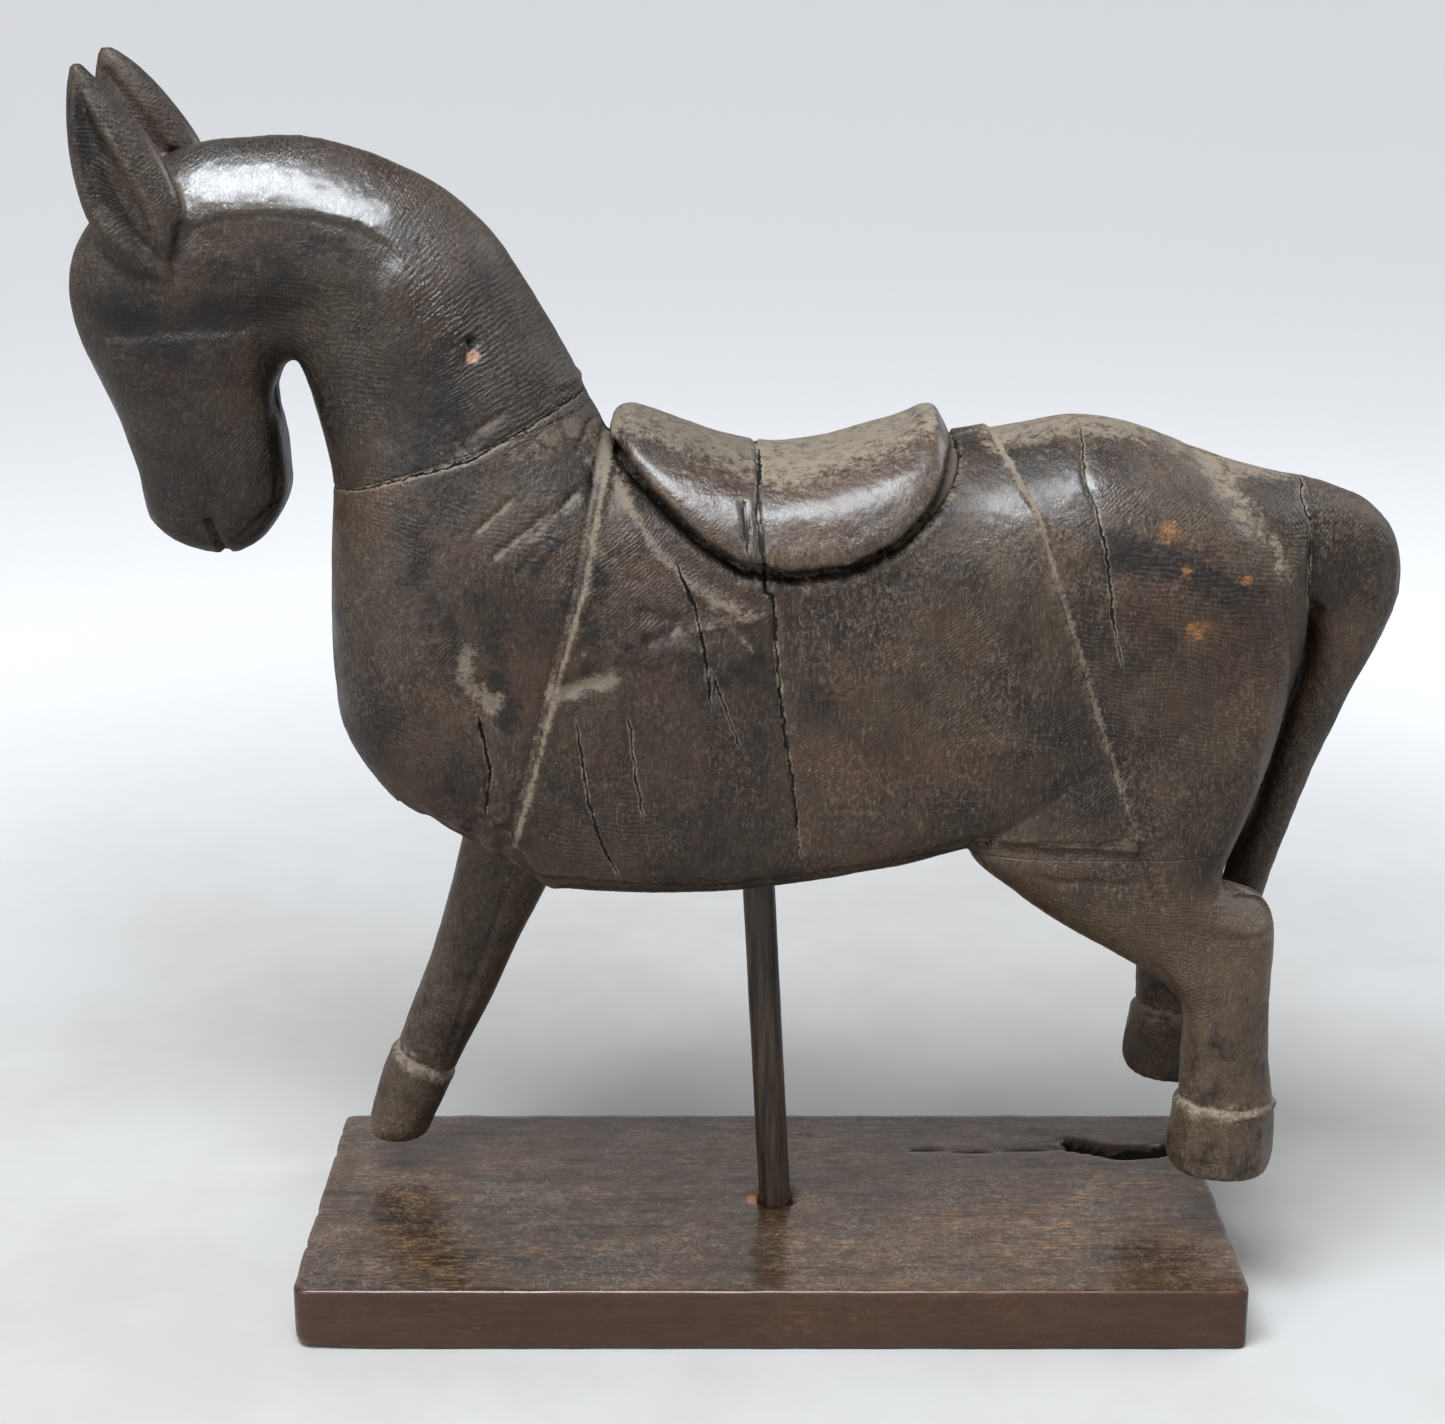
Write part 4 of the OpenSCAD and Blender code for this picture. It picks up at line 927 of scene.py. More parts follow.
def makeBoard():
    counts = [max(2, round(board[k] / board["spacing"])) for k in ("length", "depth", "thick")]
    size = np.array([board["length"], board["depth"], board["thick"]], float)
    known, places, faces = {}, [], []

    def corner(i, j, k):
        key = (i, j, k)
        if key not in known:
            known[key] = len(places)
            places.append((i, j, k))
        return known[key]

    for axis in range(3):
        u, v = [a for a in range(3) if a != axis]
        for level in (0, counts[axis]):
            for i in range(counts[u]):
                for j in range(counts[v]):
                    loop = []
                    for a, b in ((i, j), (i + 1, j), (i + 1, j + 1), (i, j + 1)):
                        at = [0, 0, 0]
                        at[axis], at[u], at[v] = level, a, b
                        loop.append(corner(*at))
                    outward = (level > 0) == (axis != 1)
                    faces.append(loop if outward else loop[::-1])
    q = np.array(places) / np.array(counts) * size - size / 2
    wornCorner = np.exp(-(((q[:, 0] + 153) / 14) ** 2 + ((q[:, 1] + 64) / 14) ** 2))
    radius = (board["corner"] + 2.5 * wornCorner)[:, None]
    inner = np.clip(q[:, :2], -size[:2] / 2 + radius, size[:2] / 2 - radius)
    out = q[:, :2] - inner
    far = np.maximum(np.hypot(*out.T)[:, None], 1e-6)
    q[:, :2] = np.where(far > radius, inner + out / far * radius, q[:, :2])
    low = (q[:, 2] < 0) * wornCorner
    edge = (board["edge"] + 0.5 * wander(q, 9) + 3.0 * low)[:, None]
    limit = size / 2 - edge
    plan = np.clip(q[:, :2], -size[:2] / 2 + radius, size[:2] / 2 - radius)
    spread = q[:, :2] - plan
    reach = np.hypot(*spread.T)
    rim = np.maximum(reach - (radius - edge)[:, 0], 0) * (radius[:, 0] > edge[:, 0])
    lift = np.maximum(np.abs(q[:, 2]) - limit[:, 2], 0)
    both = np.hypot(rim, lift)
    tooFar = (both > edge[:, 0]) & (rim > 0) & (lift > 0)
    squeeze = np.where(tooFar, edge[:, 0] / np.maximum(both, 1e-6), 1)
    direction = spread / np.maximum(reach, 1e-6)[:, None]
    q[:, :2] = np.where(tooFar[:, None], plan + direction * ((radius - edge)[:, 0] + rim * squeeze)[:, None],
            q[:, :2])
    q[:, 2] = np.where(tooFar, np.sign(q[:, 2]) * (limit[:, 2] + lift * squeeze), q[:, 2])
    topFace = q[:, 2] > size[2] / 2 - 0.05
    flat = q[:, :2]
    away = np.minimum(fromPath(flat, boardCrack)[0] / 0.9, 9)
    deep = fromPath(flat, boardVoid)[0] + 1.5 * wander(q * [0.4, 1, 1], 4)
    voidEnd = smooth(0, 1, flat[:, 0] - 106 + 2 * wander(q, 3, 4.0))
    grainWaves = 0.12 * (1 + wander(q * [0.2, 1, 1], 1.9))
    sink = 0.5 * np.exp(-away ** 2) + 5.0 * smooth(5.2, 0.8, deep) * voidEnd + grainWaves
    ring = np.hypot(q[:, 0] - board["place"], q[:, 1])
    sink = sink + 0.9 * smooth(9.5, 6.5, ring + 1.2 * wander(q, 3))
    q[:, 2] -= np.where(topFace, sink, 0)
    notch = np.zeros(len(q))
    for y, wide, much in ((50, 1.4, 0.8), (37, 1.0, 1.5), (33, 1.8, 0.7), (-8, 1.2, 1.4), (-11, 2.2, 0.5),
            (-34, 1.6, 1.0), (-52, 1.0, 0.5)):
        notch += much * np.exp(-((q[:, 1] - y) / wide) ** 2) * (q[:, 0] < -150) * smooth(1, 9, q[:, 2])
    q[:, 0] += notch
    q[:, 0] = np.clip(q[:, 0], -size[0] / 2, size[0] / 2)
    q[:, 2] += size[2] / 2 - boardTop
    mesh = makeMesh("boardPiece", q, faces)
    thing = newObject("boardPiece", mesh)
    keepMark(mesh, "edge", np.zeros(len(q)))
    links = neighbours(mesh)
    p, n = getPoints(mesh), getNormals(mesh)
    swell = ((p - relax(p, links, 5, 0.6)) * n).sum(1)
    keepMark(mesh, "edge", smooth(0.05, 0.45, swell))
    keepMark(mesh, "hollow", np.maximum(smooth(0.3, 1.6, np.where(topFace, sink, 0)), smooth(0.05, 0.4, -swell)))
    keepMark(mesh, "topFace", smooth(0.6, 0.9, n[:, 2]))
    keepMark(mesh, "crackSide", np.where(topFace, away * 0.9, 5))
    keepMark(mesh, "crackWidth", np.where(topFace & (away < 4), 0.35, 0))
    chip = np.exp(-(((q[:, 0] + 4.5) / 3.2) ** 2 + ((q[:, 1] + 1) / 4.5) ** 2))
    keepMark(mesh, "freshChip", np.where(topFace, chip, 0))
    lean = math.radians(board["lean"])
    half = 15
    middle = half - board["holeDepth"]
    drill = tool("boardDrill", roundBar(board["place"] - middle * math.sin(lean), 0, middle * math.cos(lean),
            -board["lean"], board["hole"], half))
    sawn(thing, drill, "DIFFERENCE")
    discard(drill)
    print("board made", len(thing.data.vertices), "points")
    return thing


def rodTree():  # a round bar, cut unevenly along its length
    tree = bpy.data.node_groups.new("whittledRod", "GeometryNodeTree")
    tree.interface.new_socket("Geometry", in_out="OUTPUT", socket_type="NodeSocketGeometry")
    for label, kind in (("Diameter", "Float"), ("Length", "Float"), ("Sides", "Int"), ("Rings", "Int"),
            ("Cut Depth", "Float"), ("Seed", "Int"), ("Material", "Material")):
        tree.interface.new_socket(label, in_out="INPUT", socket_type="NodeSocket" + kind)
    arriving, leaving = tree.nodes.new("NodeGroupInput"), tree.nodes.new("NodeGroupOutput")

    def join(kind, values=None, **options):
        node = tree.nodes.new(kind)
        for name, value in options.items():
            setattr(node, name, value)
        for key, value in (values or {}).items():
            if isinstance(value, bpy.types.NodeSocket):
                tree.links.new(value, node.inputs[key])
            else:
                node.inputs[key].default_value = value
        return node.outputs

    given = arriving.outputs
    radius = join("ShaderNodeMath", {0: given["Diameter"], 1: 0.5}, operation="MULTIPLY")[0]
    bar = join("GeometryNodeMeshCylinder", {"Vertices": given["Sides"], "Side Segments": given["Rings"],
            "Radius": radius, "Depth": given["Length"]}, fill_type="NGON")["Mesh"]
    place = join("GeometryNodeInputPosition")[0]
    seed = join("ShaderNodeMath", {0: given["Seed"], 1: 1.7}, operation="MULTIPLY")[0]
    cutPlace = join("ShaderNodeVectorMath", {0: place, 1: (1.0, 1.0, 0.25)}, operation="MULTIPLY")[0]
    wave = join("ShaderNodeTexNoise", {"Vector": cutPlace, "W": seed, "Scale": 260.0, "Detail": 2.0},
            noise_dimensions="4D")[0]
    cut = join("ShaderNodeMath", {0: wave, 1: given["Cut Depth"]}, operation="MULTIPLY")[0]
    inward = join("ShaderNodeMath", {0: 1.0, 1: cut}, operation="SUBTRACT")[0]
    parts = join("ShaderNodeSeparateXYZ", {0: place})
    x = join("ShaderNodeMath", {0: parts[0], 1: inward}, operation="MULTIPLY")[0]
    y = join("ShaderNodeMath", {0: parts[1], 1: inward}, operation="MULTIPLY")[0]
    moved = join("ShaderNodeCombineXYZ", {0: x, 1: y, 2: parts[2]})[0]
    shaped = join("GeometryNodeSetPosition", {"Geometry": bar, "Position": moved})[0]
    whole = join("GeometryNodeRealizeInstances", {0: shaped})[0]
    dressed = join("GeometryNodeSetMaterial", {"Geometry": whole, "Material": given["Material"]})[0]
    tree.links.new(dressed, leaving.inputs[0])
    return tree


def makeRod(material):
    holder = newObject("rodMaker", bpy.data.meshes.new("rodMaker"))
    maker = holder.modifiers.new("whittledRod", "NODES")
    maker.node_group = rodTree()
    chosen = {"Diameter": rod["diameter"] * mm, "Length": (rod["top"] - rod["bottom"]) * mm, "Sides": rod["sides"],
            "Rings": rod["rings"],
              "Cut Depth": rod["cutDepth"], "Seed": rod["seed"], "Material": material}
    for item in maker.node_group.interface.items_tree:
        if item.in_out == "INPUT":
            maker[item.identifier] = chosen[item.name]
    bpy.context.view_layer.update()
    made = bpy.data.meshes.new_from_object(holder.evaluated_get(bpy.context.evaluated_depsgraph_get()))
    holder.modifiers.clear()
    thing = newObject("rodPiece", made)
    made.transform(Matrix.Translation((board["place"] * mm, 0,
            boardTop * mm)) @ Matrix.Rotation(math.radians(-board["lean"]), 4, "Y")
                   @ Matrix.Translation((0, 0, (rod["top"] + rod["bottom"]) / 2 * mm)))
    discard(holder)
    z = getPoints(made)[:, 2]
    keepMark(made, "edge", np.zeros(len(z)))
    keepMark(made, "hollow", smooth(14, 2, z) * 0.6)
    return thing


boardPiece = makeBoard()

# The finishes.


def put(tree, kind, values=None, **options):  # one node, with sockets set or joined
    node = tree.nodes.new(kind)
    for name, value in options.items():
        setattr(node, name, value)
    for key, value in (values or {}).items():
        socket = node.inputs[key]
        if isinstance(value, bpy.types.NodeSocket):
            tree.links.new(value, socket)
        else:
            socket.default_value = value
    return node


def calc(tree, operation, a, b=0.0, c=0.0, clamp=False):
    return put(tree, "ShaderNodeMath", {0: a, 1: b, 2: c}, operation=operation, use_clamp=clamp).outputs[0]


def times(tree, a, b, clamp=False):
    return calc(tree, "MULTIPLY", a, b, clamp=clamp)


def plus(tree, a, b, clamp=False):
    return calc(tree, "ADD", a, b, clamp=clamp)


def minus(tree, a, b, clamp=False):
    return calc(tree, "SUBTRACT", a, b, clamp=clamp)


def swing(tree, value, amount):  # noise turned into a push both ways
    return times(tree, minus(tree, value, 0.5), amount)


def between(tree, value, low, high, start=0.0, end=1.0):  # a soft step from start to end
    return put(tree, "ShaderNodeMapRange", {0: value, 1: low, 2: high, 3: start, 4: end},
            interpolation_type="SMOOTHSTEP").outputs[0]


def tint(tree, amount, a, b, how="MIX"):
    return put(tree, "ShaderNodeMix", {0: amount, 6: a, 7: b}, data_type="RGBA", blend_type=how).outputs[2]


def cloud(tree, place, scale, detail=4.0, roughness=0.55, twist=0.0):
    return put(tree, "ShaderNodeTexNoise", {"Vector": place, "Scale": scale, "Detail": detail,
            "Roughness": roughness, "Distortion": twist}).outputs[0]


def stretched(tree, place, x, y, z):
    return put(tree, "ShaderNodeVectorMath", {0: place, 1: (x, y, z)}, operation="MULTIPLY").outputs[0]


def mark(tree, name):
    return put(tree, "ShaderNodeAttribute", attribute_name=name, attribute_type="GEOMETRY").outputs["Fac"]


vector, number = "NodeSocketVector", "NodeSocketFloat"


def newGroup(name, inputs, outputs):
    tree = bpy.data.node_groups.new(name, "ShaderNodeTree")
    for label, kind, value in inputs:
        socket = tree.interface.new_socket(label, in_out="INPUT", socket_type=kind)
        if value is not None:
            socket.default_value = value
    for label, kind in outputs:
        tree.interface.new_socket(label, in_out="OUTPUT", socket_type=kind)
    return tree, tree.nodes.new("NodeGroupInput"), tree.nodes.new("NodeGroupOutput")


def closeGroup(tree, leaving, results):
    for label, socket in results.items():
        tree.links.new(socket, leaving.inputs[label])
    return tree


def woodFibreGroup():  # patches, long fibres and pores; the fibres run along the stretched axis
    tree, arriving, leaving = newGroup(
        "woodFibre",
        [("Place", vector, None), ("Fibres", vector, (1.0, 1.0, 0.09)), ("Fineness", number, 900.0)],
        [("Patches", number), ("Streaks", number), ("Pores", number), ("Relief", number)])
    place, fibres, fineness = arriving.outputs[0], arriving.outputs[1], arriving.outputs[2]
    along = put(tree, "ShaderNodeVectorMath", {0: place, 1: fibres}, operation="MULTIPLY").outputs[0]
    patches = cloud(tree, place, 26.0, 3.0, 0.6, 0.4)
    fine = cloud(tree, along, fineness, 3.0, 0.6)
    broad = cloud(tree, along, times(tree, fineness, 0.3), 2.0, 0.5)
    pores = between(tree, cloud(tree, along, times(tree, fineness, 1.5), 2.0, 0.6), 0.57, 0.70)
    streaks = between(tree, plus(tree, times(tree, fine, 0.6), times(tree, broad, 0.4)), 0.36, 0.66)
    relief = minus(tree, times(tree, streaks, 0.7), times(tree, pores, 0.6))
    return closeGroup(tree, leaving, {"Patches": patches, "Streaks": streaks, "Pores": pores, "Relief": relief})


def raspGroup():  # short file strokes in patches that turn this way and that
    tree, arriving, leaving = newGroup(
        "raspStrokes", [("Place", vector, None), ("Pitch", number, 0.0011)], [("Strokes", number)])
    place = arriving.outputs[0]
    pitch = calc(tree, "DIVIDE", 6.2832, arriving.outputs[1])
    parts = put(tree, "ShaderNodeSeparateXYZ", {0: place})
    bend = times(tree, cloud(tree, place, 34.0, 2.0, 0.5), 0.012)
    total = None
    for slope, low, high, scale in ((0.15, 0.5, 0.6, 21.0), (1.3, 0.52, 0.62, 27.0), (-0.8, 0.53, 0.62, 24.0)):
        line = plus(tree, times(tree, parts.outputs[0], slope), plus(tree, parts.outputs[2], bend))
        wave = calc(tree, "SINE", times(tree, line, pitch))
        shifted = put(tree, "ShaderNodeVectorMath", {0: place, 1: (slope, slope * 2, 1.7)},
                operation="ADD").outputs[0]
        stroke = times(tree, wave, between(tree, cloud(tree, shifted, scale, 2.0, 0.5), low, high))
        total = stroke if total is None else plus(tree, total, stroke)
    broken = between(tree, cloud(tree, place, 420.0, 2.0, 0.6), 0.35, 0.6)
    return closeGroup(tree, leaving, {"Strokes": times(tree, total, broken)})


def crackGroup():  # a thin split, ragged along its sides
    tree, arriving, leaving = newGroup(
        "thinSplit",
        [("Place", vector, None), ("Side", number, 5.0), ("Width", number, 0.0)],
        [("Gap", number), ("Lip", number)])
    place, side, width = arriving.outputs[0], arriving.outputs[1], arriving.outputs[2]
    ragged = swing(tree, cloud(tree, place, 300.0, 4.0, 0.7), 2.6)
    away = calc(tree, "ABSOLUTE", plus(tree, side, ragged))
    wide = times(tree, width, between(tree, cloud(tree, place, 110.0, 3.0, 0.6), 0.36, 0.64, 0.15, 1.7))
    gap = between(tree, minus(tree, away, wide), 0.0, 0.3, 1.0, 0.0)
    gap = times(tree, gap, between(tree, width, 0.02, 0.1))
    lip = times(tree, between(tree, away, 0.35, 1.1, 1.0, 0.0), between(tree, width, 0.02, 0.1))
    return closeGroup(tree, leaving, {"Gap": gap, "Lip": lip})


def wearGroup():  # rubbed edges, dust in hollows and on what faces up
    tree, arriving, leaving = newGroup(
        "handWear",
        [("Place", vector, None), ("Edge", number, 0.0), ("Hollow", number, 0.0), ("Dust", number, 0.0),
            ("Settled", number, 0.3)],
        [("Rubbed", number), ("Dusty", number)])
    place = arriving.outputs[0]
    broken = cloud(tree, place, 260.0, 5.0, 0.7)
    fine = cloud(tree, place, 900.0, 3.0, 0.7)
    mixed = plus(tree, times(tree, broken, 0.6), times(tree, fine, 0.4))
    rubbed = times(tree, arriving.outputs[1], between(tree, mixed, 0.4, 0.62))
    upward = put(tree, "ShaderNodeSeparateXYZ", {0: put(tree,
            "ShaderNodeNewGeometry").outputs["Normal"]}).outputs[2]
    resting = times(tree, between(tree, upward, 0.35, 1.0), arriving.outputs[4])
    caught = plus(tree, times(tree, arriving.outputs[2], 0.38), plus(tree, resting, arriving.outputs[3]))
    dusty = between(tree, plus(tree, caught, swing(tree, mixed, 2.8)), 0.35, 0.95)
    return closeGroup(tree, leaving, {"Rubbed": rubbed, "Dusty": dusty})


def grimeAndShadeGroup():  # tan grit that comes and goes, and dark patches, which on the horse are partly painted shade
    tree, arriving, leaving = newGroup(
        "oldGrimeAndShade", [("Place", vector, None), ("DarkPatchAndShade", number, 0.0)], [("Grit", number), ("Dark", number)])
    place = arriving.outputs[0]
    grain = cloud(tree, stretched(tree, place, 1.0, 1.0, 0.6), 850.0, 5.0, 0.85)
    dense = between(tree, cloud(tree, place, 30.0, 5.0, 0.68), 0.42, 0.6, 0.12, 1.0)
    grit = times(tree, between(tree, grain, 0.49, 0.59), dense)
    ragged = swing(tree, cloud(tree, place, 110.0, 5.0, 0.75), 2.6)
    dark = between(tree, plus(tree, arriving.outputs[1], ragged), 0.3, 1.0)
    return closeGroup(tree, leaving, {"Grit": grit, "Dark": dark})


groups = {"fibre": woodFibreGroup(), "rasp": raspGroup(), "crack": crackGroup(), "wear": wearGroup(),
        "grimeAndShade": grimeAndShadeGroup()}


def useGroup(tree, name, values):
    node = tree.nodes.new("ShaderNodeGroup")
    node.node_tree = groups[name]
    for key, value in values.items():
        if isinstance(value, bpy.types.NodeSocket):
            tree.links.new(value, node.inputs[key])
        else:
            node.inputs[key].default_value = value
    return node.outputs


def paint(r, g, b):
    return (r, g, b, 1.0)


horseFinish = {
    "deep": paint(0.007, 0.004, 0.003),
    "wood": paint(0.038, 0.024, 0.014),
    "warm": paint(0.058, 0.026, 0.012),
    "pale": paint(0.18, 0.128, 0.084),
    "dust": paint(0.27, 0.222, 0.168),
    "orange": paint(0.30, 0.13, 0.042),
    "chip": paint(0.50, 0.30, 0.21),
    "split": paint(0.004, 0.003, 0.002),
}


def horseWood(name, fibres=(1.0, 1.0, 0.2), tone=1.0, settledDust=0.3, legTan=0.0):
    material = bpy.data.materials.new(name)
    material.use_nodes = True
    tree = material.node_tree
    tree.nodes.clear()
    place = put(tree, "ShaderNodeTexCoord").outputs["Object"]
    fibre = useGroup(tree, "fibre", {"Place": place, "Fibres": fibres, "Fineness": 1000.0})
    strokes = useGroup(tree, "rasp", {"Place": place, "Pitch": 0.0015})["Strokes"]
    split = useGroup(tree, "crack", {"Place": place, "Side": mark(tree, "crackSide"),
            "Width": mark(tree, "crackWidth")})
    worn = useGroup(tree, "wear", {"Place": place, "Edge": mark(tree, "edge"), "Hollow": mark(tree, "hollow"),
            "Dust": mark(tree, "dust"), "Settled": settledDust})
    grimeAndShade = useGroup(tree, "grimeAndShade", {"Place": place, "DarkPatchAndShade": mark(tree, "darkPatchAndShade")})
    band = mark(tree, "crestBand")
    alongCrest = plus(tree, mark(tree, "alongCrest"), times(tree, cloud(tree, place, 60.0, 3.0, 0.6), 6.0))
    file = times(tree, calc(tree, "SINE", times(tree, alongCrest, 3.7)), band)
    file = times(tree, file, between(tree, cloud(tree, place, 330.0, 2.0, 0.6), 0.34, 0.56))
    polish = mark(tree, "polish")

    colour = tint(tree, between(tree, fibre["Patches"], 0.38, 0.62), horseFinish["deep"], horseFinish["wood"])
    redness = between(tree, cloud(tree, place, 18.0, 5.0, 0.65, 0.6), 0.46, 0.62)
    colour = tint(tree, times(tree, redness, 0.6), colour, horseFinish["warm"])
    colour = tint(tree, times(tree, mark(tree, "lowerLegs"), legTan), colour, horseFinish["pale"])
    colour = tint(tree, times(tree, grimeAndShade["Grit"], 0.55), colour, horseFinish["pale"])
    colour = tint(tree, times(tree, fibre["Streaks"], 0.12), colour, horseFinish["pale"])
    colour = tint(tree, times(tree, fibre["Pores"], 0.22), colour, horseFinish["dust"])
    # dark patches and painted shade (under the saddle lip, below the crest, in the ear hollows, along the cheek)
    # darken the colour
    colour = tint(tree, times(tree, grimeAndShade["Dark"], 0.93), colour, horseFinish["deep"])
    strokeLight = calc(tree, "MAXIMUM", times(tree, strokes, 0.2), times(tree, file, 0.55), clamp=True)
    colour = tint(tree, strokeLight, colour, horseFinish["pale"])
    colour = tint(tree, times(tree, worn["Rubbed"], 0.5), colour, horseFinish["pale"])
    colour = tint(tree, times(tree, worn["Dusty"], 0.68), colour, horseFinish["dust"])
    colour = tint(tree, times(tree, split["Lip"], 0.5), colour, horseFinish["dust"])
    spots = between(tree, plus(tree, mark(tree, "orangeSpots"),
            swing(tree, cloud(tree, place, 420.0, 5.0, 0.75), 2.6)), 0.5, 1.1)
    colour = tint(tree, times(tree, spots, 0.7), colour, horseFinish["orange"])
    chip = between(tree, plus(tree, mark(tree, "freshChip"), swing(tree, cloud(tree, place, 600.0, 3.0, 0.6), 0.8)),
            0.4, 0.7)
    colour = tint(tree, chip, colour, horseFinish["chip"])
    colour = tint(tree, split["Gap"], colour, horseFinish["split"])
    colour = tint(tree, 1.0, colour, paint(tone, tone, tone), "MULTIPLY")

    rough = between(tree, cloud(tree, place, 45.0, 2.0, 0.6), 0.3, 0.7, 0.38, 0.6)
    rough = minus(tree, rough, times(tree, polish, 0.2))
    rough = plus(tree, rough, times(tree, worn["Dusty"], 0.25))
    rough = plus(tree, rough, times(tree, split["Gap"], 0.4), clamp=True)

    height = times(tree, fibre["Relief"], 0.12)
    height = plus(tree, height, times(tree, strokes, 0.06))
    height = plus(tree, height, times(tree, file, 0.08))
    height = plus(tree, height, times(tree, grimeAndShade["Grit"], 0.08))
    crumple = plus(tree, times(tree, cloud(tree, place, 150.0, 3.0, 0.6), 0.7),
            times(tree, cloud(tree, place, 560.0, 2.0, 0.65), 0.5))
    height = plus(tree, height, crumple)
    height = minus(tree, height, times(tree, split["Gap"], 0.5))
    bump = put(tree, "ShaderNodeBump", {"Height": height, "Strength": 0.8, "Distance": 0.001}).outputs[0]
    coat = times(tree, minus(tree, 1.0, worn["Dusty"]), plus(tree, 0.04, times(tree, polish, 0.75)), clamp=True)
    shader = put(tree, "ShaderNodeBsdfPrincipled", {
        "Base Color": colour, "Roughness": rough, "Normal": bump, "Coat Weight": coat, "Coat Roughness": 0.24,
        "Specular IOR Level": 0.4})
    put(tree, "ShaderNodeOutputMaterial", {"Surface": shader.outputs[0]})
    return material


boardFinish = {
    "deep": paint(0.009, 0.005, 0.0035),
    "wood": paint(0.040, 0.023, 0.014),
    "worn": paint(0.27, 0.150, 0.065),
    "red": paint(0.052, 0.019, 0.008),
    "dust": paint(0.25, 0.205, 0.16),
    "chip": paint(0.28, 0.10, 0.035),
}


def boardWood():
    material = bpy.data.materials.new("boardWood")
    material.use_nodes = True
    tree = material.node_tree
    tree.nodes.clear()
    place = put(tree, "ShaderNodeTexCoord").outputs["Object"]
    fibre = useGroup(tree, "fibre", {"Place": place, "Fibres": (0.06, 1.0, 1.0), "Fineness": 700.0})
    split = useGroup(tree, "crack", {"Place": place, "Side": mark(tree, "crackSide"),
            "Width": mark(tree, "crackWidth")})
    hollow = mark(tree, "hollow")
    worn = useGroup(tree, "wear", {"Place": place, "Edge": mark(tree, "edge"), "Hollow": 0.0, "Dust": 0.0,
            "Settled": 0.42})
    grimeAndShade = useGroup(tree, "grimeAndShade", {"Place": place, "DarkPatchAndShade": 0.45})
    lying = mark(tree, "topFace")
    figure = cloud(tree, stretched(tree, place, 0.22, 1.0, 1.0), 42.0, 5.0, 0.6, 0.8)
    colour = tint(tree, between(tree, figure, 0.34, 0.62), boardFinish["deep"], boardFinish["wood"])
    colour = tint(tree, times(tree, between(tree, cloud(tree, place, 17.0, 4.0, 0.6, 0.5), 0.44, 0.66), 0.5),
            colour, boardFinish["red"])
    patches = between(tree, cloud(tree, stretched(tree, place, 0.5, 1.0, 1.0), 30.0, 6.0, 0.68, 0.5), 0.5, 0.7)
    flecks = between(tree, cloud(tree, stretched(tree, place, 0.22, 1.0, 1.0), 620.0, 5.0, 0.8), 0.49, 0.6)
    colour = tint(tree, times(tree, flecks, plus(tree, 0.1, times(tree, patches, 0.62))), colour,
            boardFinish["worn"])
    colour = tint(tree, times(tree, grimeAndShade["Grit"], between(tree, lying, 0.0, 1.0, 0.1, 0.34)), colour,
            boardFinish["dust"])
    colour = tint(tree, times(tree, grimeAndShade["Dark"], 0.6), colour, boardFinish["deep"])
    colour = tint(tree, times(tree, fibre["Streaks"], 0.1), colour, boardFinish["worn"])
    colour = tint(tree, times(tree, fibre["Pores"], 0.4), colour, boardFinish["deep"])
    colour = tint(tree, times(tree, worn["Rubbed"], 0.6), colour, boardFinish["red"])
    colour = tint(tree, between(tree, lying, 0.0, 1.0, 0.6, 0.0), colour, boardFinish["red"])
    colour = tint(tree, times(tree, worn["Dusty"], 0.3), colour, boardFinish["dust"])
    colour = tint(tree, hollow, colour, horseFinish["split"])
    colour = tint(tree, between(tree, mark(tree, "freshChip"), 0.35, 0.7, 0.0, 0.9), colour, boardFinish["chip"])
    colour = tint(tree, split["Gap"], colour, horseFinish["split"])
    rough = between(tree, cloud(tree, stretched(tree, place, 0.4, 1.0, 1.0), 60.0, 4.0, 0.6), 0.3, 0.7, 0.2, 0.42)
    rough = plus(tree, rough, times(tree, minus(tree, 1.0, lying), 0.15))
    rough = plus(tree, rough, times(tree, hollow, 0.6), clamp=True)
    height = plus(tree, times(tree, fibre["Relief"], 0.10), times(tree, figure, 0.35))
    height = plus(tree, height, times(tree, cloud(tree, stretched(tree, place, 0.35, 1.0, 1.0), 260.0, 4.0, 0.6),
            0.3))
    height = minus(tree, height, times(tree, split["Gap"], 0.8))
    bump = put(tree, "ShaderNodeBump", {"Height": height, "Strength": 0.5, "Distance": 0.001})
    coat = times(tree, minus(tree, 1.0, hollow), 0.42, clamp=True)
    shader = put(tree, "ShaderNodeBsdfPrincipled", {
        "Base Color": colour, "Roughness": rough, "Normal": bump.outputs[0], "Specular IOR Level": 0.4,
        "Coat Weight": coat, "Coat Roughness": 0.16})
    put(tree, "ShaderNodeOutputMaterial", {"Surface": shader.outputs[0]})
    return material


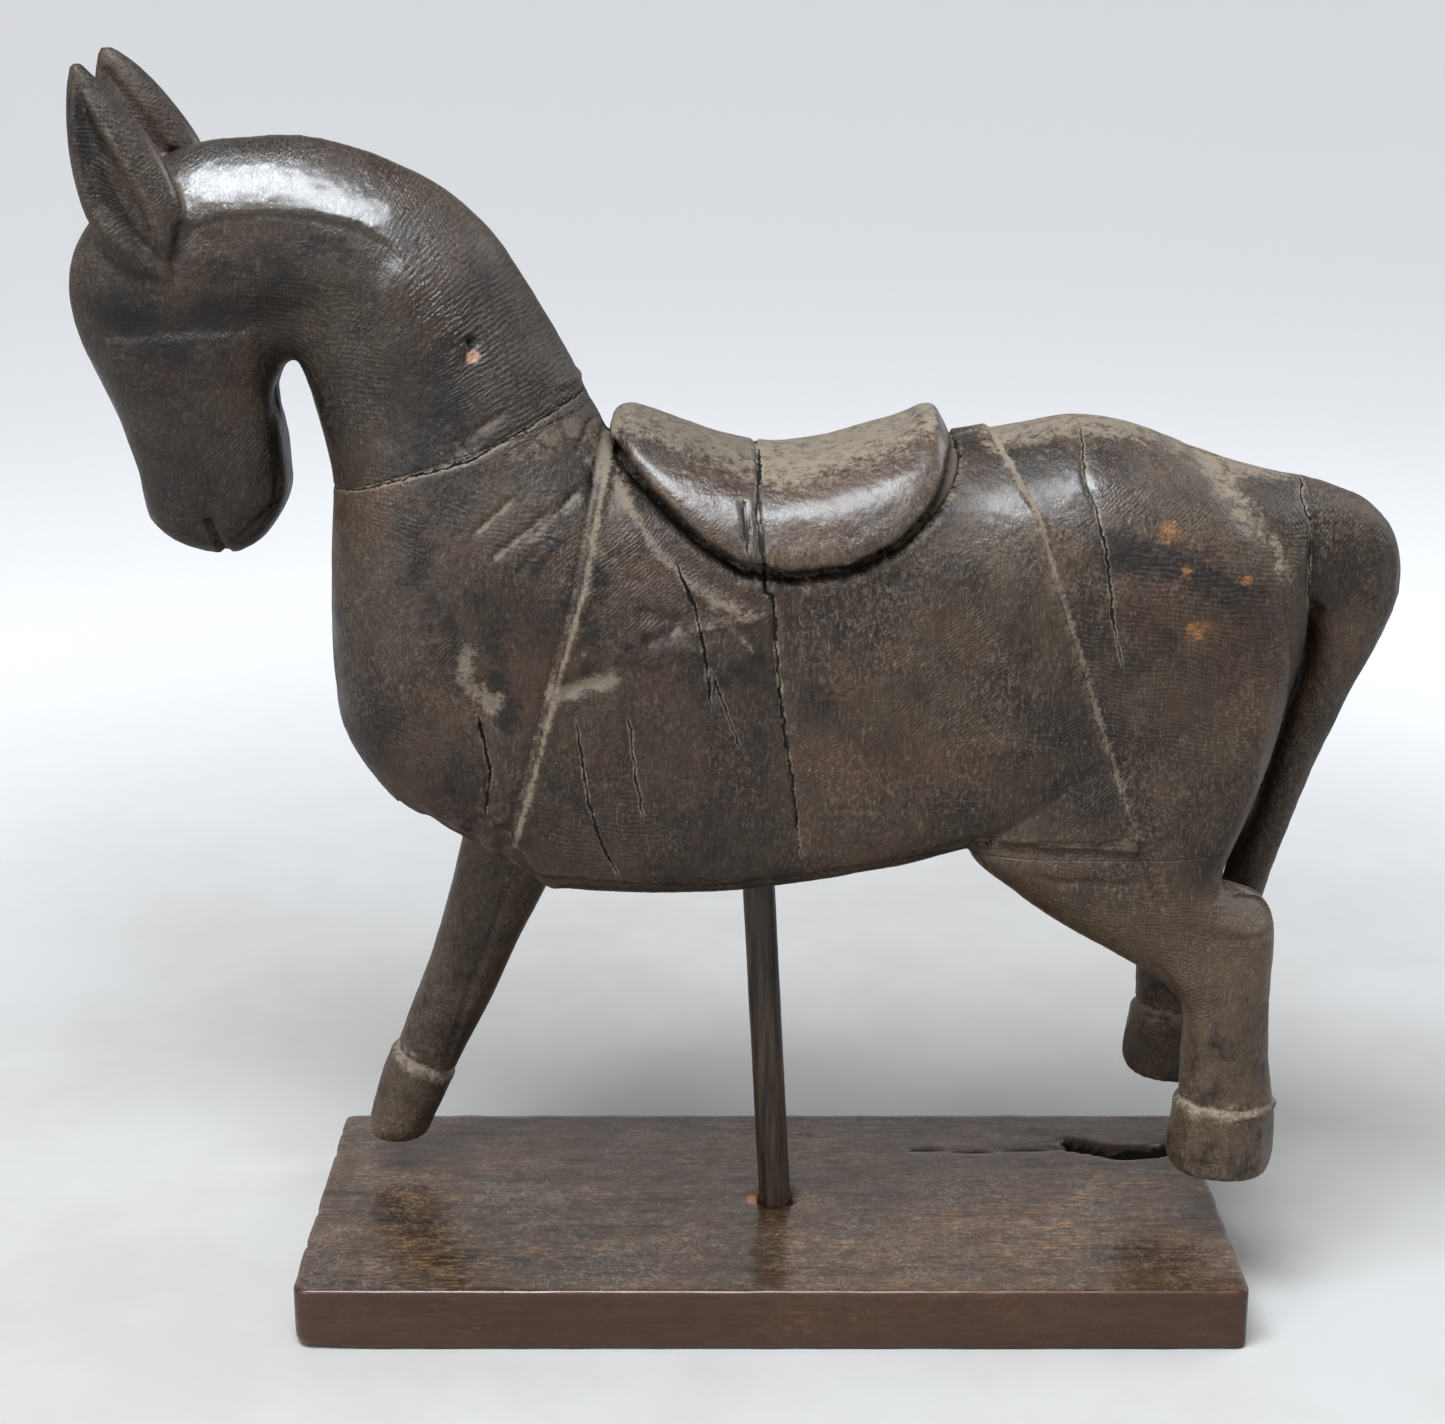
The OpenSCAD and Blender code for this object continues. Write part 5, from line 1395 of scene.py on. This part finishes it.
def plainWood(name, dark, light, fibres, roughness):
    material = bpy.data.materials.new(name)
    material.use_nodes = True
    tree = material.node_tree
    tree.nodes.clear()
    place = put(tree, "ShaderNodeTexCoord").outputs["Object"]
    fibre = useGroup(tree, "fibre", {"Place": place, "Fibres": fibres, "Fineness": 800.0})
    worn = useGroup(tree, "wear", {"Place": place, "Edge": 0.0, "Hollow": mark(tree, "hollow"), "Dust": 0.0,
            "Settled": 0.1})
    colour = tint(tree, between(tree, fibre["Patches"], 0.35, 0.65), dark, light)
    colour = tint(tree, times(tree, fibre["Streaks"], 0.3), colour, horseFinish["pale"])
    colour = tint(tree, times(tree, fibre["Pores"], 0.5), colour, dark)
    colour = tint(tree, times(tree, worn["Dusty"], 0.4), colour, horseFinish["dust"])
    rough = between(tree, cloud(tree, place, 80.0, 4.0, 0.6), 0.3, 0.7, roughness - 0.08, roughness + 0.1)
    height = plus(tree, times(tree, fibre["Relief"], 0.10), times(tree, cloud(tree, place, 300.0, 3.0, 0.6), 0.3))
    bump = put(tree, "ShaderNodeBump", {"Height": height, "Strength": 0.4, "Distance": 0.001})
    shader = put(tree, "ShaderNodeBsdfPrincipled", {"Base Color": colour, "Roughness": rough,
            "Normal": bump.outputs[0]})
    put(tree, "ShaderNodeOutputMaterial", {"Surface": shader.outputs[0]})
    return material


def dress(thing, material):
    thing.data.materials.clear()
    thing.data.materials.append(material)


finishes = {
    "head_and_neck": horseWood("headWood", (1.0, 1.0, 0.22), 0.4, 0.14),
    "forequarters": horseWood("chestWood", (1.0, 1.0, 0.2), 0.62, 0.25),
    "hindquarters": horseWood("rumpWood", (1.0, 1.0, 0.18), 0.8, 0.3),
    "right_foreleg": horseWood("forelegWood", (1.0, 1.0, 0.2), 0.8, 0.2, 0.16),
    "left_hind_leg": horseWood("nearLegWood", (1.0, 1.0, 0.18), 0.95, 0.2, 0.22),
    "right_hind_leg": horseWood("farLegWood", (1.0, 1.0, 0.18), 0.7, 0.2, 0.15),
    "tail": horseWood("tailWood", (1.0, 1.0, 0.2), 0.7, 0.15),
}
for name, piece in pieces.items():
    dress(piece, finishes[name])
dress(boardPiece, boardWood())
rodPiece = makeRod(plainWood("rodWood", paint(0.008, 0.005, 0.004), paint(0.022, 0.013, 0.008), (1.0, 1.0, 0.05),
        0.42))
for thing in [*pieces.values(), boardPiece, rodPiece]:
    for face in thing.data.polygons:
        face.use_smooth = True
dowelWood = plainWood("dowelWood", paint(0.16, 0.09, 0.05), paint(0.30, 0.20, 0.12), (0.3, 1.0, 0.3), 0.6)
for name in ("neck_dowel", "barrel_dowels", "foreleg_dowel", "hind_leg_dowels", "tail_dowel"):
    dress(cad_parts[name], dowelWood)
print("finishes made")

for name, piece in pieces.items():
    piece.name = name + "Carving"
    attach(piece, "figure")
    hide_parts(name)
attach(rodPiece, "figure")
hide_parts("support_rod")
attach(boardPiece, "stand")
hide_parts("base_board")

# The floor and the light.

studio = {
    "nearFloor": paint(0.40, 0.39, 0.377),
    "farFloor": paint(0.53, 0.535, 0.545),
    "farGlow": 0.56,
    "flatReach": 2.6,
    "dishRise": 0.3,
    "air": paint(0.92, 0.95, 1.0),
    "airStrength": 0.36,
    "keyPower": 31,
    "fillPower": 9,
    "rimPower": 7,
}


def makeFloor():
    bpy.ops.mesh.primitive_grid_add(x_subdivisions=110, y_subdivisions=110, size=24)
    floor = bpy.context.object
    floor.name = "studioFloor"
    for corner in floor.data.vertices:
        corner.co.z = studio["dishRise"] * max(0, corner.co.xy.length - studio["flatReach"]) ** 1.6
    for face in floor.data.polygons:
        face.use_smooth = True
    material = bpy.data.materials.new("studioFloor")
    material.use_nodes = True
    tree = material.node_tree
    tree.nodes.clear()
    place = put(tree, "ShaderNodeTexCoord").outputs["Object"]
    reach = put(tree, "ShaderNodeVectorMath", {0: place}, operation="LENGTH").outputs["Value"]
    far = between(tree, reach, 0.25, 1.0)
    mottled = between(tree, cloud(tree, place, 7.0, 6.0, 0.65), 0.35, 0.65)
    near = tint(tree, mottled, paint(0.37, 0.356, 0.338), studio["nearFloor"])
    hair = calc(tree, "ABSOLUTE", minus(tree, cloud(tree, place, 11.0, 3.0, 0.5, 1.6), 0.5))
    hair = times(tree, between(tree, hair, 0.0, 0.003, 0.25, 0.0),
            between(tree, cloud(tree, place, 5.0, 2.0), 0.5, 0.62))
    near = tint(tree, hair, near, paint(0.42, 0.34, 0.26))
    colour = tint(tree, far, near, studio["farFloor"])
    glow = tint(tree, far, paint(0, 0, 0), studio["farFloor"])
    shader = put(tree, "ShaderNodeBsdfPrincipled", {
        "Base Color": colour, "Roughness": 0.5, "Specular IOR Level": 0.35, "Emission Color": glow,
        "Emission Strength": studio["farGlow"]})
    put(tree, "ShaderNodeOutputMaterial", {"Surface": shader.outputs[0]})
    dress(floor, material)


def softLight(name, place, aim, size, power, colour=(1, 1, 1)):
    data = bpy.data.lights.new(name, "AREA")
    data.shape = "RECTANGLE"
    data.size, data.size_y = size
    data.energy = power
    data.color = colour
    lamp = bpy.data.objects.new(name, data)
    bpy.context.scene.collection.objects.link(lamp)
    away = np.array(place, float) - np.array(aim, float)
    flat = math.hypot(away[0], away[1])
    lamp.location = place
    lamp.rotation_euler = (math.atan2(flat, away[2]), 0, math.atan2(away[0], -away[1]) if flat > 1e-6 else 0)


def lightStudio():
    world = bpy.data.worlds.new("studioAir")
    world.use_nodes = True
    background = world.node_tree.nodes["Background"]
    background.inputs["Color"].default_value = studio["air"]
    background.inputs["Strength"].default_value = studio["airStrength"]
    bpy.context.scene.world = world
    softLight("keyBox", (-0.25, -0.55, 1.35), (0, 0, 0.25), (0.95, 0.5), studio["keyPower"], (0.88, 0.94, 1.0))
    softLight("fillBox", (-1.1, -1.2, 0.8), (0, 0, 0.2), (0.6, 0.6), studio["fillPower"], (1.0, 0.98, 0.95))
    softLight("rimBox", (1.1, 0.35, 0.95), (0.05, 0, 0.2), (0.7, 0.7), studio["rimPower"], (0.9, 0.95, 1.0))
    bpy.context.scene.view_settings.view_transform = "Standard"
    bpy.context.scene.view_settings.look = "Medium High Contrast"


makeFloor()
lightStudio()
print("studio lit")
